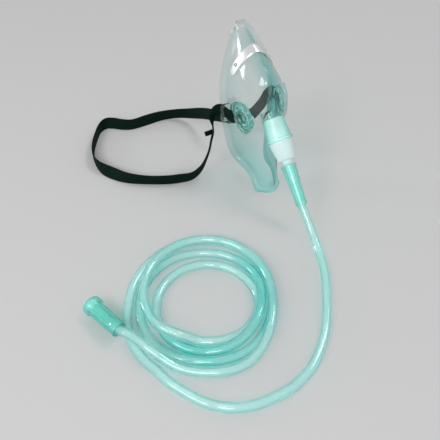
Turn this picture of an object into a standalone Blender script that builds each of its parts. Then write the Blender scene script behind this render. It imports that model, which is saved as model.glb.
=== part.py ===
"""Oxygen face mask with its head strap, adapter and coiled supply tube, lying as used on a table.

Units are metres, +Z is up and the table is z = 0. The mask stands on its chin.
"""

import math

import bmesh
import bpy
from mathutils import Matrix, Vector

# Layout. Places are measured from a mark on the table; this moves the mark to the row's origin.
LAYOUT_SHIFT = Vector((0.0232, -0.2888, 0.0))

# Mask shell, in its own frame: x to the wearer's left, -y forward, z up.
MASK_PLACE = Vector((0.0385, 0.2600, 0.00041))
MASK_YAW = math.radians(25.5)
MASK_HEIGHT = 0.0990
MASK_DEPTH = 0.0580
MASK_HALF_WIDTH = 0.0174
CHIN_SWAY = -0.0032
NOSE_SWAY = -0.0014
SHELL_WALL = 0.0012
FLANGE_WIDTH = 0.0034
FLANGE_TURN = math.radians(68.0)
FLANGE_BLEND = 0.0050
ROWS_PER_SECTION = 3
COLUMNS = 28

# How far a cutter runs past the faces that it opens.
CUT_PAST = 0.0020

# Vents, one on each cheek.
VENT_BACK = 0.0224
FAR_VENT_SHIFT = 0.0056
NEAR_VENT_LEAN = math.radians(-8.0)
FAR_VENT_LEAN = math.radians(-12.0)
VENT_UP = 0.0538
VENT_RADIUS = 0.0110
VENT_HEIGHT = 0.0018
VENT_ROOT = 0.0026
VENT_RIM = 0.0014
VENT_RECESS = 0.0012
VENT_HOLES = 8
VENT_HOLE_RADIUS = 0.0011
VENT_HOLE_CIRCLE = 0.0062

# Port under the muzzle, and the tapered adapter that sits in it.
PORT_BACK = 0.0099
PORT_UP = 0.0544
PORT_DROOP = math.radians(40.0)
PORT_ROOT = -0.0065
PORT_LENGTH = 0.0136
PORT_ROOT_RADIUS = 0.0068
PORT_LIP_RADIUS = 0.0084
PORT_WALL = 0.0013
PORT_LIP_BAND = 0.0016
PORT_LIP_PROUD = 0.0006
PORT_LIP_SETBACK = 0.0001
ADAPTER_FIT = 0.0003
ADAPTER_SPIGOT = 0.0080
ADAPTER_SHOULDER_RADIUS = 0.0076
ADAPTER_END_RADIUS = 0.0054
ADAPTER_LENGTH = 0.0125
ADAPTER_BORE = 0.0014
NIPPLE_RADIUS = 0.0024
NIPPLE_SHOWN = 0.0034
NIPPLE_IN_CUFF = 0.0120
BARB_HEIGHT = 0.0003

# Strap lugs on the cheeks.
LUG_BACK = 0.0360
LUG_UP = 0.0500
LUG_REACH = 0.0074
LUG_HEIGHT = 0.0138
LUG_THICKNESS = 0.0016
LUG_ROUNDING = 0.0028
SLOT_HEIGHT = 0.0108
SLOT_WIDTH = 0.0030
SLOT_INSET = 0.0022
SLOT_CUT_DEPTH = 0.0200

# Nose clip, an aluminium strip held by two studs.
CLIP_WIDTH = 0.0066
CLIP_ROUNDING = 0.0026
CLIP_THICKNESS = 0.0008
CLIP_GAP = 0.0003
CLIP_REACH = 0.86
CLIP_BACK = 0.0380
CLIP_SLANT = -0.35
CLIP_EASE = 0.0060
STUD_AT = 0.76
STUD_RADIUS = 0.0012
STUD_HEIGHT = 0.0018

# Tube, its coil and the soft ends.
TUBE_DIAMETER = 0.0060
TUBE_STRAIGHT = 0.0035
TOUCH = 0.0003
COIL_PLACE = Vector((-0.0107, 0.1652, 0.0))
COIL_OUTER_RADIUS = 0.0455
COIL_INNER_RADIUS = 0.0260
COIL_HEIGHT = 0.0150
COIL_ROUNDING = 0.0040
CUFF_LENGTH = 0.0274
CUFF_MOUTH_RADIUS = 0.0048
CUFF_TAIL_RADIUS = 0.0036
CUFF_BORE = 0.0020
CUFF_BAND = 0.0016
CUFF_BAND_HEIGHT = 0.0004
CONNECTOR_LENGTH = 0.0262
CONNECTOR_BODY_RADIUS = 0.0044
CONNECTOR_MOUTH_RADIUS = 0.0060
CONNECTOR_TAIL_RADIUS = 0.0047
CONNECTOR_BORE = 0.0031
CONNECTOR_RIBS = 8
CONNECTOR_RIB_HEIGHT = 0.0006
CONNECTOR_TAIL = Vector((-0.0565, 0.1440, 0.0090))
CONNECTOR_MOUTH = Vector((-0.0752, 0.1618, 0.0061))

# Strap: a flat elastic standing on its edge.
STRAP_WIDTH = 0.0088
STRAP_THICKNESS = 0.0011

# Mask sections from chin to nose, as fractions of depth and height. Each has the rim point
# (back, up), the crown point (back, up), the half width and the squareness of the section.
SECTIONS = (
    (0.015, 0.000, 0.015, 0.000, 0.20, 2.0),
    (0.075, 0.000, 0.000, 0.085, 0.37, 2.0),
    (0.200, 0.055, 0.005, 0.160, 0.41, 2.1),
    (0.380, 0.065, 0.030, 0.250, 0.43, 2.2),
    (0.530, 0.085, 0.090, 0.350, 0.60, 2.5),
    (0.620, 0.165, 0.145, 0.450, 0.78, 2.9),
    (0.695, 0.310, 0.160, 0.550, 0.91, 3.2),
    (0.750, 0.475, 0.185, 0.650, 1.00, 3.2),
    (0.805, 0.640, 0.225, 0.750, 0.94, 2.4),
    (0.855, 0.790, 0.340, 0.845, 0.70, 1.75),
    (0.910, 0.910, 0.680, 0.925, 0.35, 1.6),
    (0.965, 0.985, 0.965, 0.985, 0.13, 2.0),
)

# Strap route round the table from the near lug to the far one: x, y, least height, and how far
# the band leans back from standing on its edge, in degrees. Both ends are measured from the
# middle of their lug's slot, and the free run from the layout's mark.
STRAP_NEAR_END = (
    (0.0048, -0.0085, 0.0031, 0), (0.0031, -0.0051, 0.0011, 0), (0.0013, -0.0015, -0.0004, 0),
    (-0.0011, 0.0031, -0.0005, 0), (-0.0053, 0.0047, -0.0022, 0),
    (-0.0085, 0.0033, -0.0094, -5), (-0.0086, 0.0005, -0.0174, -20),
    (-0.0100, -0.0021, -0.0244, -35),
)
STRAP_FREE_RUN = (
    (-0.0078, 0.2795, 0.0190, -38), (-0.0107, 0.2766, 0.0120, -30),
    (-0.0144, 0.2731, 0.0070, -15), (-0.0201, 0.2689, 0, -8), (-0.0286, 0.2665, 0, 0),
    (-0.0385, 0.2650, 0, 0), (-0.0520, 0.2650, 0, 0), (-0.0658, 0.2670, 0, 15),
    (-0.0768, 0.2721, 0, 40), (-0.0858, 0.2772, 0, 25), (-0.0911, 0.2834, 0, 5),
    (-0.0942, 0.2909, 0, 0), (-0.0955, 0.2997, 0, 0), (-0.0952, 0.3099, 0, 0),
    (-0.0938, 0.3205, 0, 5), (-0.0899, 0.3268, 0, 20), (-0.0840, 0.3276, 0, 28),
    (-0.0762, 0.3258, 0, 20), (-0.0683, 0.3260, 0, 10), (-0.0579, 0.3313, 0, 15),
    (-0.0471, 0.3363, 0, 5), (-0.0352, 0.3383, 0.0052, 0), (-0.0236, 0.3345, 0.0085, 5),
    (-0.0123, 0.3256, 0.0155, 20), (-0.0010, 0.3130, 0.0235, 25),
)
STRAP_FAR_END = (
    (-0.0310, 0.0062, -0.0239, 20), (-0.0196, 0.0067, -0.0219, 15),
    (-0.0125, 0.0097, -0.0159, 10), (-0.0070, 0.0122, -0.0084, 5), (-0.0032, 0.0087, -0.0026, 0),
    (0.0003, 0.0002, -0.0004, 0), (0.0033, -0.0061, -0.0002, 0),
)

# Free run of the tube, from the cuff down to the table and round to the coil.
TUBE_ROUTE = (
    (0.0572, 0.2215, 0.0110), (0.0591, 0.2168, 0.0080), (0.0608, 0.2120, 0.0057),
    (0.0624, 0.2060, 0.0040), (0.0638, 0.1990, 0.0032), (0.0646, 0.1920, 0.0031),
    (0.0649, 0.1850, 0.0031), (0.0645, 0.1760, 0.0031), (0.0637, 0.1670, 0.0031),
    (0.0625, 0.1580, 0.0031), (0.0609, 0.1495, 0.0031), (0.0581, 0.1404, 0.0031),
    (0.0517, 0.1269, 0.0031), (0.0422, 0.1161, 0.0031), (0.0324, 0.1095, 0.0031),
    (0.0187, 0.1037, 0.0031), (0.0052, 0.1022, 0.0031), (-0.0083, 0.1050, 0.0031),
    (-0.0222, 0.1125, 0.0031), (-0.0305, 0.1188, 0.0031), (-0.0345, 0.1226, 0.0031),
)


def clear_scene():
    for thing in list(bpy.data.objects):
        bpy.data.objects.remove(thing, do_unlink=True)


def plain_material(name, colour, roughness, metallic=0.0, alpha=1.0):
    material = bpy.data.materials.new(name)
    material.use_nodes = True
    shader = material.node_tree.nodes["Principled BSDF"]
    shader.inputs["Base Color"].default_value = (*colour, 1.0)
    shader.inputs["Roughness"].default_value = roughness
    shader.inputs["Metallic"].default_value = metallic
    shader.inputs["Alpha"].default_value = alpha
    return material


def add_object(name, mesh, material=None, parent=None):
    thing = bpy.data.objects.new(name, mesh)
    bpy.context.scene.collection.objects.link(thing)
    if material:
        mesh.materials.append(material)
    thing.parent = parent
    return thing


def mesh_from(name, points, faces, sharp_angle=math.radians(35.0)):
    mesh = bpy.data.meshes.new(name)
    mesh.from_pydata([tuple(point) for point in points], [], faces)
    mesh.validate()
    mesh.shade_smooth()
    mesh.set_sharp_from_angle(angle=sharp_angle)
    return mesh


def add_guide(name, mesh, collection, parent, matrix=Matrix.Identity(4)):
    """A shape that a Boolean joins to the shell or cuts from it."""
    guide = bpy.data.objects.new(name, mesh)
    collection.objects.link(guide)
    guide.parent = parent
    guide.matrix_local = matrix
    guide.hide_render = True
    guide.display_type = "WIRE"
    return guide


def smooth_route(route, steps):
    """Points on a Catmull-Rom curve through the route's points."""
    ends = [route[0] * 2 - route[1], *route, route[-1] * 2 - route[-2]]
    points = []
    for index in range(1, len(ends) - 2):
        before, start, end, after = ends[index - 1:index + 3]
        for step in range(steps):
            t = step / steps
            points.append(0.5 * (
                2 * start + (end - before) * t
                + (2 * before - 5 * start + 4 * end - after) * t ** 2
                + (3 * start - before - 3 * end + after) * t ** 3))
    points.append(route[-1].copy())
    return points


def placed(point):
    return Vector(point) + LAYOUT_SHIFT


def turned_mesh(name, profile, sides, rib_height=0.0, ribs=0):
    """Revolve a closed (radius, along, ribbed) profile about +Z, counter-clockwise in (r, z)."""
    points = []
    for radius, along, ribbed in profile:
        for side in range(sides):
            angle = 2 * math.pi * side / sides
            wave = rib_height * ribbed * (math.cos(angle * ribs) > 0) if ribs else 0.0
            points.append((
                (radius + wave) * math.cos(angle), (radius + wave) * math.sin(angle), along))
    faces = []
    rings = len(profile)
    for ring in range(rings):
        after = (ring + 1) % rings
        for side in range(sides):
            beside = (side + 1) % sides
            faces.append((
                ring * sides + side, ring * sides + beside,
                after * sides + beside, after * sides + side))
    return mesh_from(name, points, faces)


def rod_mesh(name, radius, start, end, sides, end_radius=None):
    """A solid round bar along Z, tapered when it has an end radius."""
    shape = bmesh.new()
    bmesh.ops.create_cone(
        shape, cap_ends=True, segments=sides, radius1=radius,
        radius2=radius if end_radius is None else end_radius, depth=end - start,
        matrix=Matrix.Translation((0, 0, (start + end) / 2)))
    mesh = bpy.data.meshes.new(name)
    shape.to_mesh(mesh)
    shape.free()
    return mesh


def block_mesh(name, size, bevel=0.0):
    shape = bmesh.new()
    bmesh.ops.create_cube(shape, size=1.0, matrix=Matrix.Diagonal((*size, 1.0)))
    if bevel:
        upright = [edge for edge in shape.edges
                   if abs(edge.verts[0].co.y - edge.verts[1].co.y) > size[1] / 2]
        bmesh.ops.bevel(shape, geom=upright, offset=bevel, segments=3, affect="EDGES", profile=0.5)
    mesh = bpy.data.meshes.new(name)
    shape.to_mesh(mesh)
    shape.free()
    return mesh


def section_at(share):
    """The mask's section at a share of the way from chin (0) to nose (1)."""
    spot = min(max(share, 0.0), 1.0) * (len(SECTIONS) - 1)
    index = min(int(spot), len(SECTIONS) - 2)
    t = spot - index
    rows = [SECTIONS[min(max(index + k, 0), len(SECTIONS) - 1)] for k in (-1, 0, 1, 2)]
    values = []
    for before, start, end, after in zip(*rows):
        values.append(0.5 * (
            2 * start + (end - before) * t
            + (2 * before - 5 * start + 4 * end - after) * t ** 2
            + (3 * start - before - 3 * end + after) * t ** 3))
    return values


def shell_point(share, across):
    """A point on the shell's outer face; across runs from -1 to 1 between the two rims."""
    rim_back, rim_up, crown_back, crown_up, width, square = section_at(share)
    angle = min(abs(across), 1.0) * math.pi / 2
    side = max(math.sin(angle), 0.0) ** (2 / square)
    spot = min(max(share, 0.0), 1.0) * (len(SECTIONS) - 1)
    flat = max(1 - spot, spot - len(SECTIONS) + 2, 0.0)
    side += (min(abs(across), 1.0) - side) * flat
    rise = max(math.cos(angle), 0.0) ** (2 / square)
    back = rim_back + (crown_back - rim_back) * rise
    up = rim_up + (crown_up - rim_up) * rise
    sway = CHIN_SWAY * (1 - up) ** 3 + NOSE_SWAY * max(up - 0.6, 0.0) ** 2 / 0.16
    floor = SHELL_WALL + FLANGE_WIDTH * math.cos(FLANGE_TURN)
    return Vector((
        math.copysign(side, across) * width * MASK_HALF_WIDTH + sway,
        back * MASK_DEPTH,
        floor + up * (MASK_HEIGHT - floor)))


def shell_frame(share, across):
    """Point, the two surface directions and the outward normal."""
    step = 0.004
    point = shell_point(share, across)
    along = (shell_point(share + step, across) - shell_point(share - step, across)) / (2 * step)
    over = (shell_point(share, across + step) - shell_point(share, across - step)) / (2 * step)
    return point, along, over, over.cross(along).normalized()


def cheek_spot(back, up, side):
    """Share and across of the shell point nearest to a place in the side view."""
    best = None
    for row in range(101):
        for column in range(101):
            share, across = row / 100, column / 100
            point = shell_point(share, across)
            miss = (point.y - back) ** 2 + (point.z - up) ** 2
            if best is None or miss < best[0]:
                best = (miss, share, across)
    return best[1], best[2] * side


def on_surface(share, across):
    """A frame with its origin on the shell and +Z along the outward normal."""
    point, along, over, normal = shell_frame(share, across)
    side = along.cross(normal).normalized()
    frame = Matrix((side, normal.cross(side), normal)).transposed().to_4x4()
    frame.translation = point
    return frame


def shell_sheet():
    """The moulded sheet with its turned-out feather flange, as points and faces."""
    rows = (len(SECTIONS) - 1) * ROWS_PER_SECTION
    points = []
    for row in range(rows + 1):
        for column in range(COLUMNS + 1):
            points.append(shell_point(row / rows, 2 * column / COLUMNS - 1))

    def spot(row, column):
        return row * (COLUMNS + 1) + column

    faces = []
    for row in range(rows):
        for column in range(COLUMNS):
            faces.append((
                spot(row, column), spot(row, column + 1),
                spot(row + 1, column + 1), spot(row + 1, column)))
    rim = [(0, column, 1, column) for column in range(COLUMNS)]
    rim += [(row, COLUMNS, row, COLUMNS - 1) for row in range(rows)]
    rim += [(rows, column, rows - 1, column) for column in range(COLUMNS, 0, -1)]
    rim += [(row, 0, row, 1) for row in range(rows, 0, -1)]
    edge = [spot(row, column) for row, column, _, _ in rim]
    inner = [spot(row, column) for _, _, row, column in rim]
    count = len(edge)
    outward = []
    for index in range(count):
        here = points[edge[index]]
        leaving = (here - points[inner[index]]).normalized()
        along = points[edge[(index + 1) % count]] - points[edge[index - 1]]
        away = leaving.cross(along).normalized()
        outward.append((leaving, away))
    smoothed = []
    for index in range(count):
        leaving, away = Vector(), Vector()
        for other in range(count):
            reach = (points[edge[other]] - points[edge[index]]).length
            weight = max(1 - reach / FLANGE_BLEND, 0.0)
            leaving += outward[other][0] * weight
            away += outward[other][1] * weight
        smoothed.append((leaving.normalized(), away.normalized()))
    last = edge
    for reach, turn in ((0.35, 0.5), (1.0, 1.0)):
        first = len(points)
        for index in range(count):
            leaving, away = smoothed[index]
            angle = FLANGE_TURN * turn
            direction = leaving * math.cos(angle) + away * math.sin(angle)
            points.append(points[edge[index]] + direction * FLANGE_WIDTH * reach)
        ring = [first + index for index in range(count)]
        for index in range(count):
            after = (index + 1) % count
            faces.append((last[index], ring[index], ring[after], last[after]))
        last = ring
    return points, faces


def add_booleans(thing, joined, cut):
    for name, operation, collection in (
            ("join mouldings", "UNION", joined), ("cut openings", "DIFFERENCE", cut)):
        boolean = thing.modifiers.new(name, "BOOLEAN")
        boolean.operation = operation
        boolean.operand_type = "COLLECTION"
        boolean.collection = collection
        boolean.solver = "EXACT"


def port_axis():
    """A frame at the port's root with +Z down the port."""
    direction = Vector((0, -math.cos(PORT_DROOP), -math.sin(PORT_DROOP)))
    turn = direction.to_track_quat("Z", "X").to_matrix().to_4x4()
    return Matrix.Translation((0, PORT_BACK, PORT_UP)) @ turn


def make_mask_shell(parent, material):
    points, faces = shell_sheet()
    shell = add_object("mask_shell", mesh_from("mask_shell", points, faces), material, parent)
    wall = shell.modifiers.new("wall", "SOLIDIFY")
    wall.thickness = SHELL_WALL
    wall.offset = -1.0
    wall.use_even_offset = False

    joined = bpy.data.collections.new("shell mouldings")
    cut = bpy.data.collections.new("shell openings")
    bpy.context.scene.collection.children.link(joined)
    bpy.context.scene.collection.children.link(cut)

    port = port_axis()
    lip_start = PORT_LENGTH - PORT_LIP_BAND
    add_guide("port", rod_mesh("port", PORT_ROOT_RADIUS, PORT_ROOT, PORT_LENGTH, 32,
                               PORT_LIP_RADIUS), joined, parent, port)
    add_guide("port_lip", rod_mesh("port_lip", PORT_LIP_RADIUS + PORT_LIP_PROUD, lip_start,
                                   PORT_LENGTH - PORT_LIP_SETBACK, 32), joined, parent, port)
    bore = PORT_LIP_RADIUS - PORT_WALL
    add_guide("port_bore", rod_mesh("port_bore", PORT_ROOT_RADIUS - PORT_WALL,
                                    PORT_ROOT - 2 * CUT_PAST, PORT_LENGTH + CUT_PAST, 32, bore),
              cut, parent, port)

    for side in (-1, 1):
        add_vent(side, parent, joined, cut)
        add_lug(side, parent, joined, cut)
        stud = on_surface(*clip_path(side * STUD_AT))
        add_guide(f"stud_{side}", rod_mesh("stud", STUD_RADIUS, -SHELL_WALL / 2, STUD_HEIGHT, 12),
                  joined, parent, stud)
    add_booleans(shell, joined, cut)
    return shell


def add_vent(side, parent, joined, cut):
    """A raised disc with a rim, a sunk face and a circle of holes."""
    back = VENT_BACK + (FAR_VENT_SHIFT if side > 0 else 0.0)
    frame = on_surface(*cheek_spot(back, VENT_UP, side))
    lean = FAR_VENT_LEAN if side > 0 else NEAR_VENT_LEAN
    frame = frame @ Matrix.Rotation(lean, 4, "Y")
    sunk = VENT_HEIGHT - VENT_RECESS
    add_guide(f"vent_{side}", rod_mesh("vent", VENT_RADIUS, -VENT_ROOT, VENT_HEIGHT, 32),
              joined, parent, frame)
    add_guide(f"vent_recess_{side}", rod_mesh("recess", VENT_RADIUS - VENT_RIM, sunk,
                                              VENT_HEIGHT + CUT_PAST, 32), cut, parent, frame)
    hole = rod_mesh("vent_hole", VENT_HOLE_RADIUS, -3 * CUT_PAST, VENT_HEIGHT + CUT_PAST, 10)
    for index in range(VENT_HOLES):
        angle = 2 * math.pi * index / VENT_HOLES
        place = Matrix.Translation((
            VENT_HOLE_CIRCLE * math.cos(angle), VENT_HOLE_CIRCLE * math.sin(angle), 0))
        add_guide(f"vent_hole_{side}_{index}", hole, cut, parent, frame @ place)


def lug_root(side):
    """Where the lug's tab meets the cheek."""
    return shell_point(*cheek_spot(LUG_BACK, LUG_UP, side))


def slot_middle(side):
    """The middle of the lug's slot, in the mask's own frame."""
    outer = lug_root(side).x + side * (LUG_REACH - SLOT_INSET - SLOT_WIDTH / 2)
    return Vector((outer, LUG_BACK, LUG_UP))


def add_lug(side, parent, joined, cut):
    """A tab standing out from the cheek, with an upright slot for the strap."""
    length = LUG_REACH + SHELL_WALL / 2
    middle = lug_root(side).x + side * (length / 2 - SHELL_WALL / 2)
    place = Matrix.Translation((middle, LUG_BACK, LUG_UP))
    tab = block_mesh("lug", (length, LUG_THICKNESS, LUG_HEIGHT), LUG_ROUNDING)
    add_guide(f"lug_{side}", tab, joined, parent, place)
    slot = block_mesh("slot", (SLOT_WIDTH, SLOT_CUT_DEPTH, SLOT_HEIGHT))
    add_guide(f"slot_{side}", slot, cut, parent, Matrix.Translation(slot_middle(side)))


def clip_path(across):
    """Share and across of the nose clip's centre line, a cut square across the nose."""
    low, high = 0.6, 1.0
    for _ in range(30):
        middle = (low + high) / 2
        point = shell_point(middle, across)
        if point.y < CLIP_BACK - CLIP_SLANT * (math.hypot(point.x, CLIP_EASE) - CLIP_EASE):
            low = middle
        else:
            high = middle
    return low, across


def clip_stations(steps):
    """Places evenly spaced along the clip's centre line, each with its way to the nearer end."""
    fine = [CLIP_REACH * (2 * index / 200 - 1) for index in range(201)]
    line = [shell_point(*clip_path(across)) for across in fine]
    walked = [0.0]
    for here, after in zip(line, line[1:]):
        walked.append(walked[-1] + (after - here).length)
    stations = []
    spot = 0
    for index in range(steps + 1):
        target = walked[-1] * index / steps
        while spot < len(fine) - 2 and walked[spot + 1] < target:
            spot += 1
        share = min((target - walked[spot]) / (walked[spot + 1] - walked[spot]), 1.0)
        across = fine[spot] + (fine[spot + 1] - fine[spot]) * share
        stations.append((across, min(target, walked[-1] - target)))
    return stations


def make_nose_clip(parent, material):
    """A strip bent over the nose ridge, with round ends and a hole for each stud."""
    steps = 40
    points = []
    for across, from_end in clip_stations(steps):
        _, along, over, normal = shell_frame(*clip_path(across))
        ahead = shell_point(*clip_path(across + 0.01)) - shell_point(*clip_path(across - 0.01))
        sideways = normal.cross(ahead).normalized()
        metric = Matrix(((along.dot(along), along.dot(over)), (along.dot(over), over.dot(over))))
        shares = metric.inverted() @ Vector((along.dot(sideways), over.dot(sideways)))
        rounding = min(from_end / CLIP_ROUNDING, 1.0)
        half = CLIP_WIDTH / 2 - CLIP_ROUNDING * (1 - math.sqrt(1 - (1 - rounding) ** 2))
        share, place = clip_path(across)
        for lift in (CLIP_GAP, CLIP_GAP + CLIP_THICKNESS):
            for edge in (-1, 0, 1):
                spot = (share + shares[0] * half * edge, place + shares[1] * half * edge)
                point, _, _, up = shell_frame(*spot)
                points.append(point + up * lift)
    faces = []
    loop = (0, 1, 2, 5, 4, 3)
    for index in range(steps):
        first, second = index * 6, (index + 1) * 6
        for place in range(6):
            here, after = loop[place], loop[(place + 1) % 6]
            faces.append((first + here, first + after, second + after, second + here))
    last = steps * 6
    faces += [(0, 3, 4, 1), (1, 4, 5, 2)]
    faces += [(last, last + 1, last + 4, last + 3), (last + 1, last + 2, last + 5, last + 4)]
    clip = add_object("nose_clip", mesh_from("nose_clip", points, faces), material, parent)
    cut = bpy.data.collections.new("clip holes")
    bpy.context.scene.collection.children.link(cut)
    for side in (-1, 1):
        add_guide(f"clip_hole_{side}", rod_mesh("clip_hole", STUD_RADIUS + TOUCH, -CUT_PAST,
                                                2 * CUT_PAST, 12),
                  cut, parent, on_surface(*clip_path(side * STUD_AT)))
    boolean = clip.modifiers.new("stud holes", "BOOLEAN")
    boolean.operation = "DIFFERENCE"
    boolean.operand_type = "COLLECTION"
    boolean.collection = cut
    boolean.solver = "EXACT"
    return clip


def make_adapter(parent, material):
    """A tapered push-in adapter: spigot in the port, shoulder on its lip, barbed nipple."""
    lip = PORT_LENGTH + TOUCH
    taper = (PORT_LIP_RADIUS - PORT_ROOT_RADIUS) / PORT_LENGTH
    spigot_end = PORT_LIP_RADIUS - PORT_WALL - ADAPTER_FIT
    spigot_start = spigot_end - taper * ADAPTER_SPIGOT - ADAPTER_FIT
    end = lip + ADAPTER_LENGTH
    cuff_at = end + NIPPLE_SHOWN
    tip = cuff_at + NIPPLE_IN_CUFF
    profile = [
        (ADAPTER_BORE, tip), (NIPPLE_RADIUS - BARB_HEIGHT * 2, tip),
        (NIPPLE_RADIUS - BARB_HEIGHT, tip - 0.0015),
        (NIPPLE_RADIUS - BARB_HEIGHT, cuff_at - TOUCH), (NIPPLE_RADIUS + 0.0007, cuff_at - TOUCH),
        (NIPPLE_RADIUS + 0.0009, end), (ADAPTER_END_RADIUS - 0.0006, end),
        (ADAPTER_END_RADIUS, end - 0.0006),
        ((ADAPTER_END_RADIUS + ADAPTER_SHOULDER_RADIUS) / 2 + 0.0003, (lip + end) / 2),
        (ADAPTER_SHOULDER_RADIUS, lip + 0.0010), (ADAPTER_SHOULDER_RADIUS - 0.0004, lip),
        (spigot_end, lip), (spigot_start, PORT_LENGTH - ADAPTER_SPIGOT),
        (spigot_start - 0.0010, PORT_LENGTH - ADAPTER_SPIGOT),
        (spigot_end - 0.0012, lip), (ADAPTER_END_RADIUS - 0.0016, end - 0.0014),
        (ADAPTER_BORE, end - 0.0014),
    ]
    mesh = turned_mesh("port_adapter", [(r, z, 0) for r, z in reversed(profile)], 28)
    adapter = add_object("port_adapter", mesh, material, parent)
    adapter.matrix_local = port_axis()
    return adapter


def cuff_start():
    """How far down the port's axis the tube cuff begins."""
    return PORT_LENGTH + TOUCH + ADAPTER_LENGTH + NIPPLE_SHOWN


def make_mask_end_cuff(parent, material):
    """The soft tapered end of the tube that pushes over the adapter's nipple."""
    socket = NIPPLE_RADIUS - BARB_HEIGHT + TOUCH + 0.0002
    length = CUFF_LENGTH
    band = CUFF_BAND
    profile = [
        (socket, 0.0), (CUFF_MOUTH_RADIUS + CUFF_BAND_HEIGHT - 0.0003, 0.0),
        (CUFF_MOUTH_RADIUS + CUFF_BAND_HEIGHT, 0.0004),
        (CUFF_MOUTH_RADIUS + CUFF_BAND_HEIGHT, band), (CUFF_MOUTH_RADIUS, band + 0.0003),
        (CUFF_MOUTH_RADIUS * 0.55 + CUFF_TAIL_RADIUS * 0.45, length * 0.45),
        (CUFF_TAIL_RADIUS, length - band - 0.0003),
        (CUFF_TAIL_RADIUS + CUFF_BAND_HEIGHT, length - band),
        (CUFF_TAIL_RADIUS + CUFF_BAND_HEIGHT, length - 0.0004),
        (CUFF_TAIL_RADIUS + CUFF_BAND_HEIGHT - 0.0003, length),
        (CUFF_BORE, length), (CUFF_BORE, NIPPLE_IN_CUFF + 0.0012),
        (socket, NIPPLE_IN_CUFF + 0.0008),
    ]
    mesh = turned_mesh("mask_end_cuff", [(r, z, 0) for r, z in profile], 24)
    cuff = add_object("mask_end_cuff", mesh, material, parent)
    cuff.matrix_local = port_axis() @ Matrix.Translation((0, 0, cuff_start()))
    return cuff


def make_supply_connector(material):
    """The ribbed soft connector on the coil's end, mouth first."""
    length = CONNECTOR_LENGTH
    body, mouth, tail = CONNECTOR_BODY_RADIUS, CONNECTOR_MOUTH_RADIUS, CONNECTOR_TAIL_RADIUS
    bore = CONNECTOR_BORE
    profile = [
        (bore + 0.0008, 0.0, 0), (mouth - 0.0005, 0.0, 0), (mouth, 0.0006, 0),
        (mouth, 0.0034, 0), (body + 0.0006, 0.0046, 0), (body, 0.0060, 1),
        (body, length - 0.0058, 1), (body, length - 0.0044, 0), (tail, length - 0.0034, 0),
        (tail, length - 0.0005, 0), (tail - 0.0005, length, 0), (CUFF_BORE, length, 0),
        (CUFF_BORE, length - 0.0080, 0), (bore, length - 0.0100, 0), (bore, 0.0020, 0),
    ]
    mesh = turned_mesh("supply_connector", profile, 4 * CONNECTOR_RIBS,
                       CONNECTOR_RIB_HEIGHT, CONNECTOR_RIBS)
    connector = add_object("supply_connector", mesh, material)
    axis = (CONNECTOR_TAIL - CONNECTOR_MOUTH).normalized()
    turn = axis.to_track_quat("Z", "X").to_matrix().to_4x4()
    connector.matrix_world = Matrix.Translation(placed(CONNECTOR_MOUTH)) @ turn
    return connector


def make_coil(material):
    """The outer shape of the wound turns, a rounded ring on the table."""
    inner, outer, top = COIL_INNER_RADIUS, COIL_OUTER_RADIUS, COIL_HEIGHT
    round_off = COIL_ROUNDING
    corners = (
        (outer - round_off, round_off, -90), (outer - round_off, top - round_off, 0),
        (inner + round_off, top - round_off, 90), (inner + round_off, round_off, 180))
    profile = []
    for centre, height, start in corners:
        for step in range(4):
            angle = math.radians(start + 30 * step)
            profile.append((centre + round_off * math.cos(angle),
                            height + round_off * math.sin(angle), 0))
    coil = add_object("tube_coil", turned_mesh("tube_coil", profile, 48), material)
    coil.location = placed(COIL_PLACE)
    return coil


def make_tube(start, material):
    """The free run of the tube, as a curve with a round bevel and filled caps."""
    route = start + [placed(point) for point in TUBE_ROUTE]
    points = smooth_route(route, 3)
    curve = bpy.data.curves.new("oxygen_tube", "CURVE")
    curve.dimensions = "3D"
    curve.bevel_depth = TUBE_DIAMETER / 2
    curve.bevel_resolution = 3
    curve.resolution_u = 1
    curve.render_resolution_u = 0
    curve.use_fill_caps = True
    spline = curve.splines.new("POLY")
    spline.points.add(len(points) - 1)
    for spot, point in zip(spline.points, points):
        spot.co = (*point, 1.0)
    curve.materials.append(material)
    tube = bpy.data.objects.new("oxygen_tube", curve)
    bpy.context.scene.collection.objects.link(tube)
    return tube


def make_strap(near_slot, far_slot, material):
    """A flat elastic band that stands on its edge on the table and passes both lug slots."""
    half = STRAP_WIDTH / 2
    route = []
    for mark, stretch in ((near_slot, STRAP_NEAR_END), (LAYOUT_SHIFT, STRAP_FREE_RUN),
                          (far_slot, STRAP_FAR_END)):
        for x, y, height, lean in stretch:
            angle = math.radians(lean)
            resting = (half * math.cos(angle) + STRAP_THICKNESS / 2 * abs(math.sin(angle))
                       + TOUCH * 2 / 3)
            place = mark + Vector((x, y, height))
            route.append(Vector((place.x, place.y, max(place.z, resting), angle)))
    stations = smooth_route(route, 3)
    count = len(stations)
    verts = []
    for index, station in enumerate(stations):
        point = station.to_3d()
        ahead = (stations[min(index + 1, count - 1)] - stations[max(index - 1, 0)]).to_3d()
        ahead.normalize()
        edge = Vector((0, math.sin(station.w), math.cos(station.w)))
        flat = edge.cross(ahead).normalized()
        across = ahead.cross(flat).normalized()
        for outward, upward in ((-1, -1), (1, -1), (1, 1), (-1, 1)):
            verts.append(point + flat * outward * STRAP_THICKNESS / 2
                         + across * upward * STRAP_WIDTH / 2)
    faces = [(3, 2, 1, 0)]
    for index in range(count - 1):
        first, second = index * 4, (index + 1) * 4
        for corner in range(4):
            after = (corner + 1) % 4
            faces.append((first + corner, first + after, second + after, second + corner))
    last = (count - 1) * 4
    faces.append((last, last + 1, last + 2, last + 3))
    return add_object("head_strap", mesh_from("head_strap", verts, faces), material)


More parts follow.
